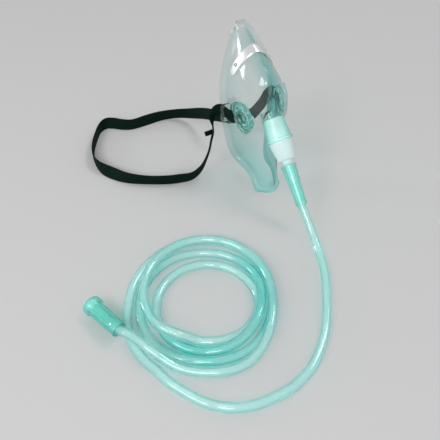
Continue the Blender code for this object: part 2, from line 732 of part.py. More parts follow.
def main():
    clear_scene()
    clear_green = plain_material("clear green vinyl", (0.62, 0.80, 0.78), 0.15, alpha=0.45)
    aluminium = plain_material("bright aluminium", (0.82, 0.83, 0.84), 0.25, metallic=1.0)
    white_plastic = plain_material("milky plastic", (0.80, 0.92, 0.91), 0.30)
    green_soft = plain_material("soft green vinyl", (0.32, 0.74, 0.66), 0.25)
    tube_vinyl = plain_material("mint tube vinyl", (0.45, 0.80, 0.74), 0.20)
    elastic = plain_material("dark green elastic", (0.01, 0.05, 0.04), 0.80)

    pose = bpy.data.objects.new("mask_pose", None)
    bpy.context.scene.collection.objects.link(pose)
    pose.location = placed(MASK_PLACE)
    pose.rotation_euler = (0, 0, MASK_YAW)

    make_mask_shell(pose, clear_green)
    make_nose_clip(pose, aluminium)
    make_adapter(pose, white_plastic)
    make_mask_end_cuff(pose, green_soft)
    bpy.context.view_layer.update()
    tail = cuff_start() + CUFF_LENGTH + TOUCH
    leaving = [pose.matrix_world @ port_axis() @ Vector((0, 0, tail + past))
               for past in (0.0, TUBE_STRAIGHT)]
    make_tube(leaving, tube_vinyl)
    make_coil(tube_vinyl)
    make_supply_connector(green_soft)
    near_slot, far_slot = (pose.matrix_world @ slot_middle(side) for side in (-1, 1))
    make_strap(near_slot, far_slot, elastic)


main()
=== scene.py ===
"""Looks of a clear oxygen face mask with its strap, adapter and coiled supply tube.

Units are metres, +Z is up and the table is z = 0. The mask stands on its chin, and its own frame
has x across the face, -y forward and z up.
"""

import math

import bmesh
import bpy
from bpy.props import FloatProperty, FloatVectorProperty, IntProperty, PointerProperty
from bpy.types import Operator, Panel, PropertyGroup
from mathutils import Matrix, Vector
from mathutils.kdtree import KDTree


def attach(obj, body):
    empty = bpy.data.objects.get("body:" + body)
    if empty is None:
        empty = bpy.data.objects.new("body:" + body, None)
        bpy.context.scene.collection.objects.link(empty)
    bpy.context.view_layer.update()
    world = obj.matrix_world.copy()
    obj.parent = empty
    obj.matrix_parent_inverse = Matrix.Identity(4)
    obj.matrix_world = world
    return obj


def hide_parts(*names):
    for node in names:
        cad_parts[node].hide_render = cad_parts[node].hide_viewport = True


bl_info = {
    "name": "Oxygen Face Mask",
    "version": (1, 0, 0),
    "blender": (4, 5, 0),
    "location": "3D View > Sidebar > Oxygen Mask",
    "description": "Clear vinyl face mask with strap, adapter and coiled tube",
    "category": "Add Mesh",
}

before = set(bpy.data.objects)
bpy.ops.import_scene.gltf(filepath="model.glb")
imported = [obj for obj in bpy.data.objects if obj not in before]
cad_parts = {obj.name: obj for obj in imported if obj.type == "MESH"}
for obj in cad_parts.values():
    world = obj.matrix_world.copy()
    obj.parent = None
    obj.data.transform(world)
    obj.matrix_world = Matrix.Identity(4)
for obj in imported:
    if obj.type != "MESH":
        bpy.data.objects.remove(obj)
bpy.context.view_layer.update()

# Layout: places are measured from a mark on the table, which this moves to the row's origin.
LAYOUT_SHIFT = Vector((0.0232, -0.2888, 0.0))
MASK_PLACE = Vector((0.0385, 0.2600, 0.00041))
MASK_YAW = math.radians(25.5)
MASK_POSE = Matrix.Translation(MASK_PLACE + LAYOUT_SHIFT) @ Matrix.Rotation(MASK_YAW, 4, "Z")

# Mask shell.
MASK_HEIGHT = 0.0990
MASK_DEPTH = 0.0580
MASK_HALF_WIDTH = 0.0174
CHIN_SWAY = -0.0032
NOSE_SWAY = -0.0014
FLANGE_TURN = math.radians(68.0)
FLANGE_BLEND = 0.0050
FLANGE_STEPS = ((0.18, 0.30), (0.36, 0.60), (0.58, 0.84), (0.80, 0.96), (1.00, 1.00))
ROWS_PER_SECTION = 8
COLUMNS = 96
SECTIONS = (
    (0.015, 0.000, 0.015, 0.000, 0.20, 2.0),
    (0.075, 0.000, 0.000, 0.085, 0.37, 2.0),
    (0.200, 0.055, 0.005, 0.160, 0.41, 2.1),
    (0.380, 0.065, 0.030, 0.250, 0.43, 2.2),
    (0.530, 0.085, 0.090, 0.350, 0.60, 2.5),
    (0.620, 0.165, 0.145, 0.450, 0.78, 2.9),
    (0.695, 0.310, 0.160, 0.550, 0.91, 3.2),
    (0.750, 0.475, 0.185, 0.650, 1.00, 3.2),
    (0.805, 0.640, 0.225, 0.750, 0.94, 2.4),
    (0.855, 0.790, 0.340, 0.845, 0.70, 1.75),
    (0.910, 0.910, 0.680, 0.925, 0.35, 1.6),
    (0.965, 0.985, 0.965, 0.985, 0.13, 2.0),
)

# Sides of a turned piece, and the angle from which an edge stays sharp.
TURNED_SIDES = 64
SHARP_ANGLE = math.radians(38.0)

# Roughness of the skin that gives vinyl its sharp highlights.
COAT_ROUGHNESS = 0.04

# Where the moulded sheet is thickest along the nose's ridge, and how much deeper its tint is there; and
# painted shade at the chin, a deeper tint that grows towards the table.
RIDGE_HALF_WIDTH = 0.0075
RIDGE_DEPTH = 0.85
RIDGE_MIDDLE = 0.072
RIDGE_REACH = 0.024
# Painted shade: below this height the chin's tint deepens towards the table.
CHIN_SHADE_HEIGHT = 0.052
CHIN_SHADE_DEPTH = 0.42

# Vents.
VENT_BACK = 0.0224
FAR_VENT_SHIFT = 0.0056
NEAR_VENT_LEAN = math.radians(-8.0)
FAR_VENT_LEAN = math.radians(-12.0)
VENT_UP = 0.0538
VENT_ROOT = 0.0026
VENT_RIM = 0.0014
VENT_RECESS = 0.0012

# Port and adapter.
PORT_BACK = 0.0099
PORT_UP = 0.0544
PORT_DROOP = math.radians(40.0)
PORT_ROOT = -0.0065
PORT_LENGTH = 0.0136
PORT_ROOT_RADIUS = 0.0068
PORT_LIP_RADIUS = 0.0084
PORT_WALL = 0.0013
PORT_LIP_BAND = 0.0016
PORT_LIP_PROUD = 0.0006
COLLAR_START = -0.0012
ADAPTER_FIT = 0.0003
ADAPTER_SPIGOT = 0.0080
ADAPTER_SHOULDER_RADIUS = 0.0076
ADAPTER_END_RADIUS = 0.0054
ADAPTER_LENGTH = 0.0125
ADAPTER_BORE = 0.0014
NIPPLE_RADIUS = 0.0024
NIPPLE_SHOWN = 0.0034
NIPPLE_IN_CUFF = 0.0120
BARB_HEIGHT = 0.0003
TOUCH = 0.0003

# Lugs.
LUG_BACK = 0.0360
LUG_UP = 0.0500
LUG_REACH = 0.0074
LUG_HEIGHT = 0.0138
LUG_THICKNESS = 0.0016
SLOT_HEIGHT = 0.0108
SLOT_WIDTH = 0.0030
SLOT_INSET = 0.0022

# Nose clip.
CLIP_GAP = 0.0003
CLIP_REACH = 0.86
CLIP_BACK = 0.0380
CLIP_SLANT = -0.35
CLIP_EASE = 0.0060
CLIP_ROUNDING = 0.0026
STUD_AT = 0.76
STUD_RADIUS = 0.0012
STUD_HEIGHT = 0.0018

# Tube ends and coil.
CUFF_LENGTH = 0.0274
CUFF_MOUTH_RADIUS = 0.0048
CUFF_TAIL_RADIUS = 0.0036
CUFF_BAND = 0.0016
CUFF_BAND_HEIGHT = 0.0004
CONNECTOR_LENGTH = 0.0262
CONNECTOR_BODY_RADIUS = 0.0044
CONNECTOR_MOUTH_RADIUS = 0.0060
CONNECTOR_TAIL_RADIUS = 0.0047
CONNECTOR_BORE = 0.0031
CONNECTOR_TAIL = Vector((-0.0565, 0.1440, 0.0090))
CONNECTOR_MOUTH = Vector((-0.0752, 0.1618, 0.0061))
TUBE_IN_END = 0.0060
TUBE_STRAIGHT = 0.0035
COIL_PLACE = Vector((-0.0107, 0.1652, 0.0))
COIL_STEP = 10.0
TABLE_REST = 3.1

# Painted shade where turns bunch, as a deeper tint: how far off other turns deepen the tint, which path
# points are a place's own, how many others are needed, and how much each one past that adds.
BUNCH_REACH = 0.0095
BUNCH_SKIP = 12
BUNCH_FREE = 8
BUNCH_DEPTH = 0.045
BUNCH_DEEPEST = 0.62

# Free run of the tube, from the cuff down to the table and round to the coil.
TUBE_ROUTE = (
    (0.0572, 0.2215, 0.0110), (0.0591, 0.2168, 0.0080), (0.0608, 0.2120, 0.0057),
    (0.0624, 0.2060, 0.0040), (0.0638, 0.1990, 0.0032), (0.0646, 0.1920, 0.0031),
    (0.0649, 0.1850, 0.0031), (0.0645, 0.1760, 0.0031), (0.0637, 0.1670, 0.0031),
    (0.0625, 0.1580, 0.0031), (0.0609, 0.1495, 0.0031), (0.0581, 0.1404, 0.0031),
    (0.0517, 0.1269, 0.0031), (0.0422, 0.1161, 0.0031), (0.0324, 0.1095, 0.0031),
    (0.0187, 0.1037, 0.0031), (0.0052, 0.1022, 0.0031), (-0.0083, 0.1050, 0.0031),
    (-0.0222, 0.1125, 0.0031), (-0.0305, 0.1188, 0.0031),
)

# Wound turns: degrees round the coil's middle, radius and height, both in millimetres.
COIL_TURNS = (
    (-60.8, 48.8, 3.1), (-30, 46.3, 3.1), (0, 43.3, 3.1), (45, 44.3, 3.1), (90, 46.3, 3.1),
    (135, 45.2, 3.1), (180, 41.8, 3.1), (225, 40.6, 3.1), (270, 37.4, 3.1), (315, 37.6, 3.1),
    (360, 36.8, 3.1), (405, 36.9, 3.1), (450, 36.2, 3.1), (490, 37.3, 4.0), (520, 36.4, 7.6),
    (540, 35.1, 8.9), (570, 34.9, 8.6), (600, 33.6, 5.2), (630, 31.5, 3.1), (675, 29.2, 3.1),
    (720, 26.6, 3.1), (765, 26.2, 3.1), (810, 27.3, 3.1), (855, 30.2, 3.1), (900, 33.6, 3.1),
    (930, 32.0, 3.1), (960, 28.0, 3.1), (990, 25.3, 3.1), (1005, 25.4, 6.0), (1020, 27.3, 9.2),
    (1050, 31.2, 9.4), (1080, 34.1, 8.8), (1125, 39.2, 9.1), (1170, 42.6, 9.1),
    (1215, 42.8, 9.1), (1260, 41.2, 9.2), (1290, 44.0, 8.0), (1314, 46.6, 4.6),
    (1350, 43.6, 3.1), (1368, 43.3, 5.2), (1383, 42.9, 8.6), (1398, 43.9, 9.4),
    (1408, 46.2, 9.3),
)

# Strap route round the table from the near lug to the far one: x, y, least height, and how far
# the band leans back from standing on its edge, in degrees. Both ends are measured from the
# middle of their lug's slot, and the free run from the layout's mark.
STRAP_NEAR_END = (
    (0.0048, -0.0085, 0.0031, 0), (0.0031, -0.0051, 0.0011, 0), (0.0013, -0.0015, -0.0004, 0),
    (-0.0011, 0.0031, -0.0005, 0), (-0.0053, 0.0047, -0.0022, 0),
    (-0.0085, 0.0033, -0.0094, -5), (-0.0086, 0.0005, -0.0174, -20),
    (-0.0100, -0.0021, -0.0244, -35),
)
STRAP_FREE_RUN = (
    (-0.0078, 0.2795, 0.0190, -38), (-0.0107, 0.2766, 0.0120, -30),
    (-0.0144, 0.2731, 0.0070, -15), (-0.0201, 0.2689, 0, -8), (-0.0286, 0.2665, 0, 0),
    (-0.0385, 0.2650, 0, 0), (-0.0520, 0.2650, 0, 0), (-0.0658, 0.2670, 0, 15),
    (-0.0768, 0.2721, 0, 40), (-0.0858, 0.2772, 0, 25), (-0.0911, 0.2834, 0, 5),
    (-0.0942, 0.2909, 0, 0), (-0.0955, 0.2997, 0, 0), (-0.0952, 0.3099, 0, 0),
    (-0.0938, 0.3205, 0, 5), (-0.0899, 0.3268, 0, 20), (-0.0840, 0.3276, 0, 28),
    (-0.0762, 0.3258, 0, 20), (-0.0683, 0.3260, 0, 10), (-0.0579, 0.3313, 0, 15),
    (-0.0471, 0.3363, 0, 5), (-0.0352, 0.3383, 0.0052, 0), (-0.0236, 0.3345, 0.0085, 5),
    (-0.0123, 0.3256, 0.0155, 20), (-0.0010, 0.3130, 0.0235, 25),
)
STRAP_FAR_END = (
    (-0.0310, 0.0062, -0.0239, 20), (-0.0196, 0.0067, -0.0219, 15),
    (-0.0125, 0.0097, -0.0159, 10), (-0.0070, 0.0122, -0.0084, 5), (-0.0032, 0.0087, -0.0026, 0),
    (0.0003, 0.0002, -0.0004, 0), (0.0033, -0.0061, -0.0002, 0),
)

# The strap's loose end, which stands out behind the near lug.
STRAP_TAIL = (
    (-0.0086, 0.0008, -0.0170, -30), (-0.0106, 0.0003, -0.0178, -30),
    (-0.0126, -0.0001, -0.0184, -30), (-0.0142, -0.0005, -0.0188, -30),
)

# Camera.
CAMERA_PLACE = Vector((0.0232, -0.2888, 0.276))
CAMERA_TILT = math.radians(40.0)
CAMERA_ANGLE = 2 * math.atan(220 / 531)


def colour(name, description, default):
    return FloatVectorProperty(
        name=name, description=description, subtype="COLOR", size=3, min=0.0, max=1.0,
        default=default)


def length(name, description, default):
    return FloatProperty(
        name=name, description=description, subtype="DISTANCE", unit="LENGTH", precision=4,
        min=0.0, default=default)


class OxygenMaskShellSettings(PropertyGroup):
    wall: length("Wall", "Thickness of the clear shell", 0.0012)
    flange: length("Flange", "Width of the turned-out feather edge", 0.0034)
    vent_radius: length("Vent Radius", "Outer radius of a cheek vent", 0.0110)
    vent_height: length("Vent Height", "How far a vent stands out of the cheek", 0.0018)
    vent_holes: IntProperty(name="Vent Holes", description="Holes round each vent", min=1, default=8)
    hole_radius: length("Hole Radius", "Radius of a vent hole", 0.0011)
    hole_circle: length("Hole Circle", "Radius of the circle that the holes lie on", 0.0062)
    pale: colour("Clear Tint", "Tint of the clear vinyl seen square on", (0.87, 0.94, 0.94))
    deep: colour("Edge Tint", "Tint of the clear vinyl seen along its surface", (0.12, 0.63, 0.58))
    vent_pale: colour("Vent Tint", "Tint of the thick vent discs", (0.66, 0.99, 0.94))
    vent_deep: colour("Vent Edge", "Tint of the vent rims", (0.05, 0.60, 0.53))
    port_pale: colour("Port Tint", "Tint of the thick port seen square on", (0.82, 0.99, 0.96))
    port_deep: colour("Port Edge", "Tint of the port's edges", (0.06, 0.66, 0.57))


class OxygenMaskClipSettings(PropertyGroup):
    width: length("Width", "Width of the aluminium strip", 0.0066)
    thickness: length("Thickness", "Thickness of the strip", 0.0008)
    metal: colour("Metal", "Colour of the bright aluminium", (0.93, 0.94, 0.94))


class OxygenMaskFittingSettings(PropertyGroup):
    ribs: IntProperty(name="Ribs", description="Ribs round the supply connector", min=3, default=8)
    rib_radius: length("Rib Radius", "Radius of one rounded rib", 0.0009)
    milky: colour("Milky Plastic", "Colour of the adapter", (0.85, 0.96, 0.97))
    milky_deep: colour("Milky Edge", "Colour of the adapter's edges", (0.55, 0.85, 0.82))
    cuff_pale: colour("Cuff", "Colour of the soft cuff", (0.54, 0.97, 0.91))
    cuff_deep: colour("Cuff Edge", "Colour of the cuff's edges", (0.03, 0.60, 0.51))
    connector_pale: colour("Connector", "Colour of the supply connector", (0.38, 0.94, 0.87))
    connector_deep: colour("Connector Edge", "Colour of its edges", (0.04, 0.50, 0.44))


class OxygenMaskTubeSettings(PropertyGroup):
    diameter: length("Diameter", "Outside diameter of the supply tube", 0.0060)
    bore: length("Bore", "Inside diameter of the supply tube", 0.0040)
    sides: IntProperty(name="Sides", description="Faces round the tube", min=8, default=24)
    pale: colour("Tube Tint", "Tint of the tube seen square on", (0.83, 0.97, 0.955))
    deep: colour("Tube Edge", "Tint of the tube's edges", (0.04, 0.80, 0.75))


class OxygenMaskStrapSettings(PropertyGroup):
    width: length("Width", "Width of the elastic band", 0.0088)
    thickness: length("Thickness", "Thickness of the band", 0.0011)
    cords: IntProperty(name="Cords", description="Rubber cords across the band", min=1, default=9)
    cord_height: length("Cord Height", "How far each cord stands proud", 0.00012)
    dark: colour("Dark", "Colour of the band between its cords", (0.0006, 0.0050, 0.0030))
    light: colour("Light", "Colour of the yarn on top of the cords", (0.0016, 0.0200, 0.0120))


class OxygenMaskStageSettings(PropertyGroup):
    floor: colour("Floor", "Colour of the table top", (0.60, 0.60, 0.60))
    key: FloatProperty(name="Key Light", description="Power of the main softbox",
                       subtype="POWER", unit="POWER", min=0.0, default=4.4)
    window: FloatProperty(name="Window Light", description="Power of the tall softbox on the left",
                          subtype="POWER", unit="POWER", min=0.0, default=4.6)
    front: FloatProperty(name="Front Light", description="Power of the small softbox in front",
                         subtype="POWER", unit="POWER", min=0.0, default=1.5)
    high: FloatProperty(name="High Light", description="Power of the softbox high on the left",
                        subtype="POWER", unit="POWER", min=0.0, default=3.8)
    world: FloatProperty(name="Room Light", description="Strength of the light from all round",
                         min=0.0, default=0.50)
    room_seen: FloatProperty(name="Room Seen", description="Brightness of the room in gloss",
                             min=0.0, default=0.64)


SETTINGS = {
    "oxygen_mask_shell": OxygenMaskShellSettings,
    "oxygen_mask_clip": OxygenMaskClipSettings,
    "oxygen_mask_fittings": OxygenMaskFittingSettings,
    "oxygen_mask_tube": OxygenMaskTubeSettings,
    "oxygen_mask_strap": OxygenMaskStrapSettings,
    "oxygen_mask_stage": OxygenMaskStageSettings,
}


def placed(point):
    return Vector(point) + LAYOUT_SHIFT


def between(before, start, end, after, t):
    """The place at a share t from start to end on a Catmull-Rom curve."""
    return 0.5 * (
        2 * start + (end - before) * t
        + (2 * before - 5 * start + 4 * end - after) * t ** 2
        + (3 * start - before - 3 * end + after) * t ** 3)


def smooth_route(route, steps):
    """Points on a Catmull-Rom curve through the route's points."""
    ends = [route[0] * 2 - route[1], *route, route[-1] * 2 - route[-2]]
    points = []
    for index in range(1, len(ends) - 2):
        before, start, end, after = ends[index - 1:index + 3]
        for step in range(steps):
            t = step / steps
            points.append(between(before, start, end, after, t))
    points.append(route[-1].copy())
    return points


def mesh_from(name, points, faces):
    mesh = bpy.data.meshes.new(name)
    mesh.from_pydata([tuple(point) for point in points], [], faces)
    mesh.validate()
    mesh.shade_smooth()
    mesh.set_sharp_from_angle(angle=SHARP_ANGLE)
    return mesh


def add_piece(name, mesh, material):
    """A finished piece at the origin, with its place in its mesh."""
    mesh.name = name
    mesh.materials.clear()
    mesh.materials.append(material)
    mesh.polygons.foreach_set("material_index", [0] * len(mesh.polygons))
    thing = bpy.data.objects.new(name, mesh)
    bpy.context.scene.collection.objects.link(thing)
    return thing


def settle(name, thing):
    """The evaluated shape of a working object as a plain mesh; the working object goes."""
    graph = bpy.context.evaluated_depsgraph_get()
    mesh = bpy.data.meshes.new_from_object(thing.evaluated_get(graph), depsgraph=graph)
    mesh.name = name
    bpy.data.objects.remove(thing, do_unlink=True)
    return mesh


def working_object(name, mesh, matrix=Matrix.Identity(4)):
    thing = bpy.data.objects.new(name, mesh)
    bpy.context.scene.collection.objects.link(thing)
    thing.matrix_world = matrix
    return thing


def carve(name, base, joined, cut):
    """Join mouldings to a base mesh and cut openings from it; each is (mesh, matrix)."""
    thing = working_object(name, base)
    made = []
    for operation, parts in (("UNION", joined), ("DIFFERENCE", cut)):
        if not parts:
            continue
        tools = bpy.data.collections.new(f"{name} {operation.lower()}")
        bpy.context.scene.collection.children.link(tools)
        for index, (mesh, matrix) in enumerate(parts):
            tool = bpy.data.objects.new(f"{name} tool {index}", mesh)
            tool.matrix_world = matrix
            tools.objects.link(tool)
            made.append(tool)
        boolean = thing.modifiers.new(operation.lower(), "BOOLEAN")
        boolean.operation = operation
        boolean.operand_type = "COLLECTION"
        boolean.collection = tools
        boolean.solver = "EXACT"
    bpy.context.view_layer.update()
    mesh = settle(name, thing)
    for tool in made:
        bpy.data.objects.remove(tool, do_unlink=True)
    return mesh


def rounded(profile, radius, steps=4):
    """A closed (radius, along) profile with each corner eased by a short curve."""
    corners = [Vector(corner) for corner in profile]
    eased = []
    for index, corner in enumerate(corners):
        before, after = corners[index - 1] - corner, corners[(index + 1) % len(corners)] - corner
        start = corner + before * min(radius / before.length, 0.45)
        end = corner + after * min(radius / after.length, 0.45)
        for step in range(steps + 1):
            t = step / steps
            eased.append(start * (1 - t) ** 2 + corner * 2 * t * (1 - t) + end * t ** 2)
    return eased


def turned_mesh(name, profile, sides):
    """Revolve a closed (radius, along) profile about +Z, counter-clockwise in (r, z)."""
    points = []
    for radius, along in profile:
        for side in range(sides):
            angle = 2 * math.pi * side / sides
            points.append((radius * math.cos(angle), radius * math.sin(angle), along))
    faces = []
    rings = len(profile)
    for ring in range(rings):
        after = (ring + 1) % rings
        for side in range(sides):
            beside = (side + 1) % sides
            faces.append((
                ring * sides + side, ring * sides + beside,
                after * sides + beside, after * sides + side))
    return mesh_from(name, points, faces)


def rod_mesh(name, radius, start, end, sides, end_radius=None, bevel=0.0):
    """A solid round bar along Z, tapered when it has an end radius."""
    shape = bmesh.new()
    bmesh.ops.create_cone(
        shape, cap_ends=True, segments=sides, radius1=radius,
        radius2=radius if end_radius is None else end_radius, depth=end - start,
        matrix=Matrix.Translation((0, 0, (start + end) / 2)))
    if bevel:
        rim = [edge for edge in shape.edges if edge.calc_face_angle(0.0) > 1.0]
        bmesh.ops.bevel(shape, geom=rim, offset=bevel, segments=3, affect="EDGES", profile=0.5)
    mesh = bpy.data.meshes.new(name)
    shape.to_mesh(mesh)
    shape.free()
    return mesh


def block_mesh(name, size, bevel=0.0, ease=0.0):
    """A block with its upright corners rounded, and with all edges eased a little."""
    shape = bmesh.new()
    bmesh.ops.create_cube(shape, size=1.0, matrix=Matrix.Diagonal((*size, 1.0)))
    if bevel:
        upright = [edge for edge in shape.edges
                   if abs(edge.verts[0].co.y - edge.verts[1].co.y) > size[1] / 2]
        bmesh.ops.bevel(shape, geom=upright, offset=bevel, segments=8, affect="EDGES", profile=0.5)
    if ease:
        rim = [edge for edge in shape.edges if edge.calc_face_angle(0.0) > 1.0]
        bmesh.ops.bevel(shape, geom=rim, offset=ease, segments=3, affect="EDGES", profile=0.5)
    mesh = bpy.data.meshes.new(name)
    shape.to_mesh(mesh)
    shape.free()
    return mesh


def section_at(share):
    """The mask's section at a share of the way from chin (0) to nose (1)."""
    spot = min(max(share, 0.0), 1.0) * (len(SECTIONS) - 1)
    index = min(int(spot), len(SECTIONS) - 2)
    t = spot - index
    rows = [SECTIONS[min(max(index + k, 0), len(SECTIONS) - 1)] for k in (-1, 0, 1, 2)]
    values = []
    for before, start, end, after in zip(*rows):
        values.append(between(before, start, end, after, t))
    return values


def shell_floor():
    """How far the chin's edge stands above the table, on its turned flange."""
    shell = bpy.context.scene.oxygen_mask_shell
    return shell.wall + shell.flange * math.cos(FLANGE_TURN)


def shell_point(share, across):
    """A point on the shell's outer face; across runs from -1 to 1 between the two rims."""
    rim_back, rim_up, crown_back, crown_up, width, square = section_at(share)
    angle = min(abs(across), 1.0) * math.pi / 2
    side = max(math.sin(angle), 0.0) ** (2 / square)
    spot = min(max(share, 0.0), 1.0) * (len(SECTIONS) - 1)
    flat = max(1 - spot, spot - len(SECTIONS) + 2, 0.0)
    side += (min(abs(across), 1.0) - side) * flat
    rise = max(math.cos(angle), 0.0) ** (2 / square)
    back = rim_back + (crown_back - rim_back) * rise
    up = rim_up + (crown_up - rim_up) * rise
    sway = CHIN_SWAY * (1 - up) ** 3 + NOSE_SWAY * max(up - 0.6, 0.0) ** 2 / 0.16
    floor = shell_floor()
    return Vector((
        math.copysign(side, across) * width * MASK_HALF_WIDTH + sway,
        back * MASK_DEPTH,
        floor + up * (MASK_HEIGHT - floor)))


def shell_frame(share, across):
    """Point, the two surface directions and the outward normal."""
    step = 0.004
    point = shell_point(share, across)
    along = (shell_point(share + step, across) - shell_point(share - step, across)) / (2 * step)
    over = (shell_point(share, across + step) - shell_point(share, across - step)) / (2 * step)
    return point, along, over, over.cross(along).normalized()


def cheek_spot(back, up, side):
    """Share and across of the shell point nearest to a place in the side view."""
    best = None
    for row in range(101):
        for column in range(101):
            share, across = row / 100, column / 100
            point = shell_point(share, across)
            miss = (point.y - back) ** 2 + (point.z - up) ** 2
            if best is None or miss < best[0]:
                best = (miss, share, across)
    return best[1], best[2] * side


def on_surface(share, across):
    """A frame with its origin on the shell and +Z along the outward normal."""
    point, along, over, normal = shell_frame(share, across)
    side = along.cross(normal).normalized()
    place = Matrix((side, normal.cross(side), normal)).transposed().to_4x4()
    place.translation = point
    return place


def column_share(column):
    """Columns bunch towards the crown, where the section's formula stretches them."""
    across = 2 * column / COLUMNS - 1
    return math.copysign(abs(across) ** 1.25, across)


def shell_sheet(flange_width):
    """The moulded sheet with its turned-out feather flange, as points and faces."""
    rows = (len(SECTIONS) - 1) * ROWS_PER_SECTION
    points = []
    for row in range(rows + 1):
        for column in range(COLUMNS + 1):
            points.append(shell_point(row / rows, column_share(column)))

    def spot(row, column):
        return row * (COLUMNS + 1) + column

    faces = []
    for row in range(rows):
        for column in range(COLUMNS):
            faces.append((
                spot(row, column), spot(row, column + 1),
                spot(row + 1, column + 1), spot(row + 1, column)))
    rim = [(0, column, 1, column) for column in range(COLUMNS)]
    rim += [(row, COLUMNS, row, COLUMNS - 1) for row in range(rows)]
    rim += [(rows, column, rows - 1, column) for column in range(COLUMNS, 0, -1)]
    rim += [(row, 0, row, 1) for row in range(rows, 0, -1)]
    edge = [spot(row, column) for row, column, _, _ in rim]
    inner = [spot(row, column) for _, _, row, column in rim]
    count = len(edge)
    outward = []
    for index in range(count):
        here = points[edge[index]]
        leaving = (here - points[inner[index]]).normalized()
        along = points[edge[(index + 1) % count]] - points[edge[index - 1]]
        outward.append((leaving, leaving.cross(along).normalized()))
    smoothed = []
    for index in range(count):
        leaving, away = Vector(), Vector()
        for other in range(count):
            reach = (points[edge[other]] - points[edge[index]]).length
            weight = max(1 - reach / FLANGE_BLEND, 0.0)
            leaving += outward[other][0] * weight
            away += outward[other][1] * weight
        smoothed.append((leaving.normalized(), away.normalized()))
    last = edge
    for reach, turn in FLANGE_STEPS:
        first = len(points)
        for index in range(count):
            leaving, away = smoothed[index]
            angle = FLANGE_TURN * turn
            direction = leaving * math.cos(angle) + away * math.sin(angle)
            points.append(points[edge[index]] + direction * flange_width * reach)
        ring = [first + index for index in range(count)]
        for index in range(count):
            after = (index + 1) % count
            faces.append((last[index], ring[index], ring[after], last[after]))
        last = ring
    return points, faces


def port_axis():
    """A frame at the port's root with +Z down the port."""
    direction = Vector((0, -math.cos(PORT_DROOP), -math.sin(PORT_DROOP)))
    turn = direction.to_track_quat("Z", "X").to_matrix().to_4x4()
    return Matrix.Translation((0, PORT_BACK, PORT_UP)) @ turn


def vent_frame(side):
    back = VENT_BACK + (FAR_VENT_SHIFT if side > 0 else 0.0)
    place = on_surface(*cheek_spot(back, VENT_UP, side))
    lean = FAR_VENT_LEAN if side > 0 else NEAR_VENT_LEAN
    return place @ Matrix.Rotation(lean, 4, "Y")


def lug_root(side):
    """Where the lug's tab meets the cheek."""
    return shell_point(*cheek_spot(LUG_BACK, LUG_UP, side))


def slot_middle(side):
    """The middle of the lug's slot, in the mask's own frame."""
    outer = lug_root(side).x + side * (LUG_REACH - SLOT_INSET - SLOT_WIDTH / 2)
    return Vector((outer, LUG_BACK, LUG_UP))


def clip_path(across):
    """Share and across of the nose clip's centre line, a cut square across the nose."""
    low, high = 0.6, 1.0
    for _ in range(30):
        middle = (low + high) / 2
        point = shell_point(middle, across)
        if point.y < CLIP_BACK - CLIP_SLANT * (math.hypot(point.x, CLIP_EASE) - CLIP_EASE):
            low = middle
        else:
            high = middle
    return low, across


def clip_stations(steps):
    """Places evenly spaced along the clip's centre line, each with its way to the nearer end."""
    fine = [CLIP_REACH * (2 * index / 200 - 1) for index in range(201)]
    line = [shell_point(*clip_path(across)) for across in fine]
    walked = [0.0]
    for here, after in zip(line, line[1:]):
        walked.append(walked[-1] + (after - here).length)
    stations = []
    spot = 0
    for index in range(steps + 1):
        target = walked[-1] * index / steps
        while spot < len(fine) - 2 and walked[spot + 1] < target:
            spot += 1
        share = min((target - walked[spot]) / (walked[spot + 1] - walked[spot]), 1.0)
        across = fine[spot] + (fine[spot + 1] - fine[spot]) * share
        stations.append((across, min(target, walked[-1] - target)))
    return stations


def add_node(tree, kind, spot, **settings):
    made = tree.nodes.new(kind)
    made.location = spot
    for name, value in settings.items():
        setattr(made, name, value)
    return made


def new_group(name, kind, sockets):
    """An empty node group with named sockets, each (in or out, name, type, default)."""
    group = bpy.data.node_groups.new(name, kind)
    for in_out, label, socket_type, default in sockets:
        socket = group.interface.new_socket(label, in_out=in_out, socket_type=socket_type)
        if default is not None:
            socket.default_value = default
    return group, group.nodes.new("NodeGroupInput"), group.nodes.new("NodeGroupOutput")


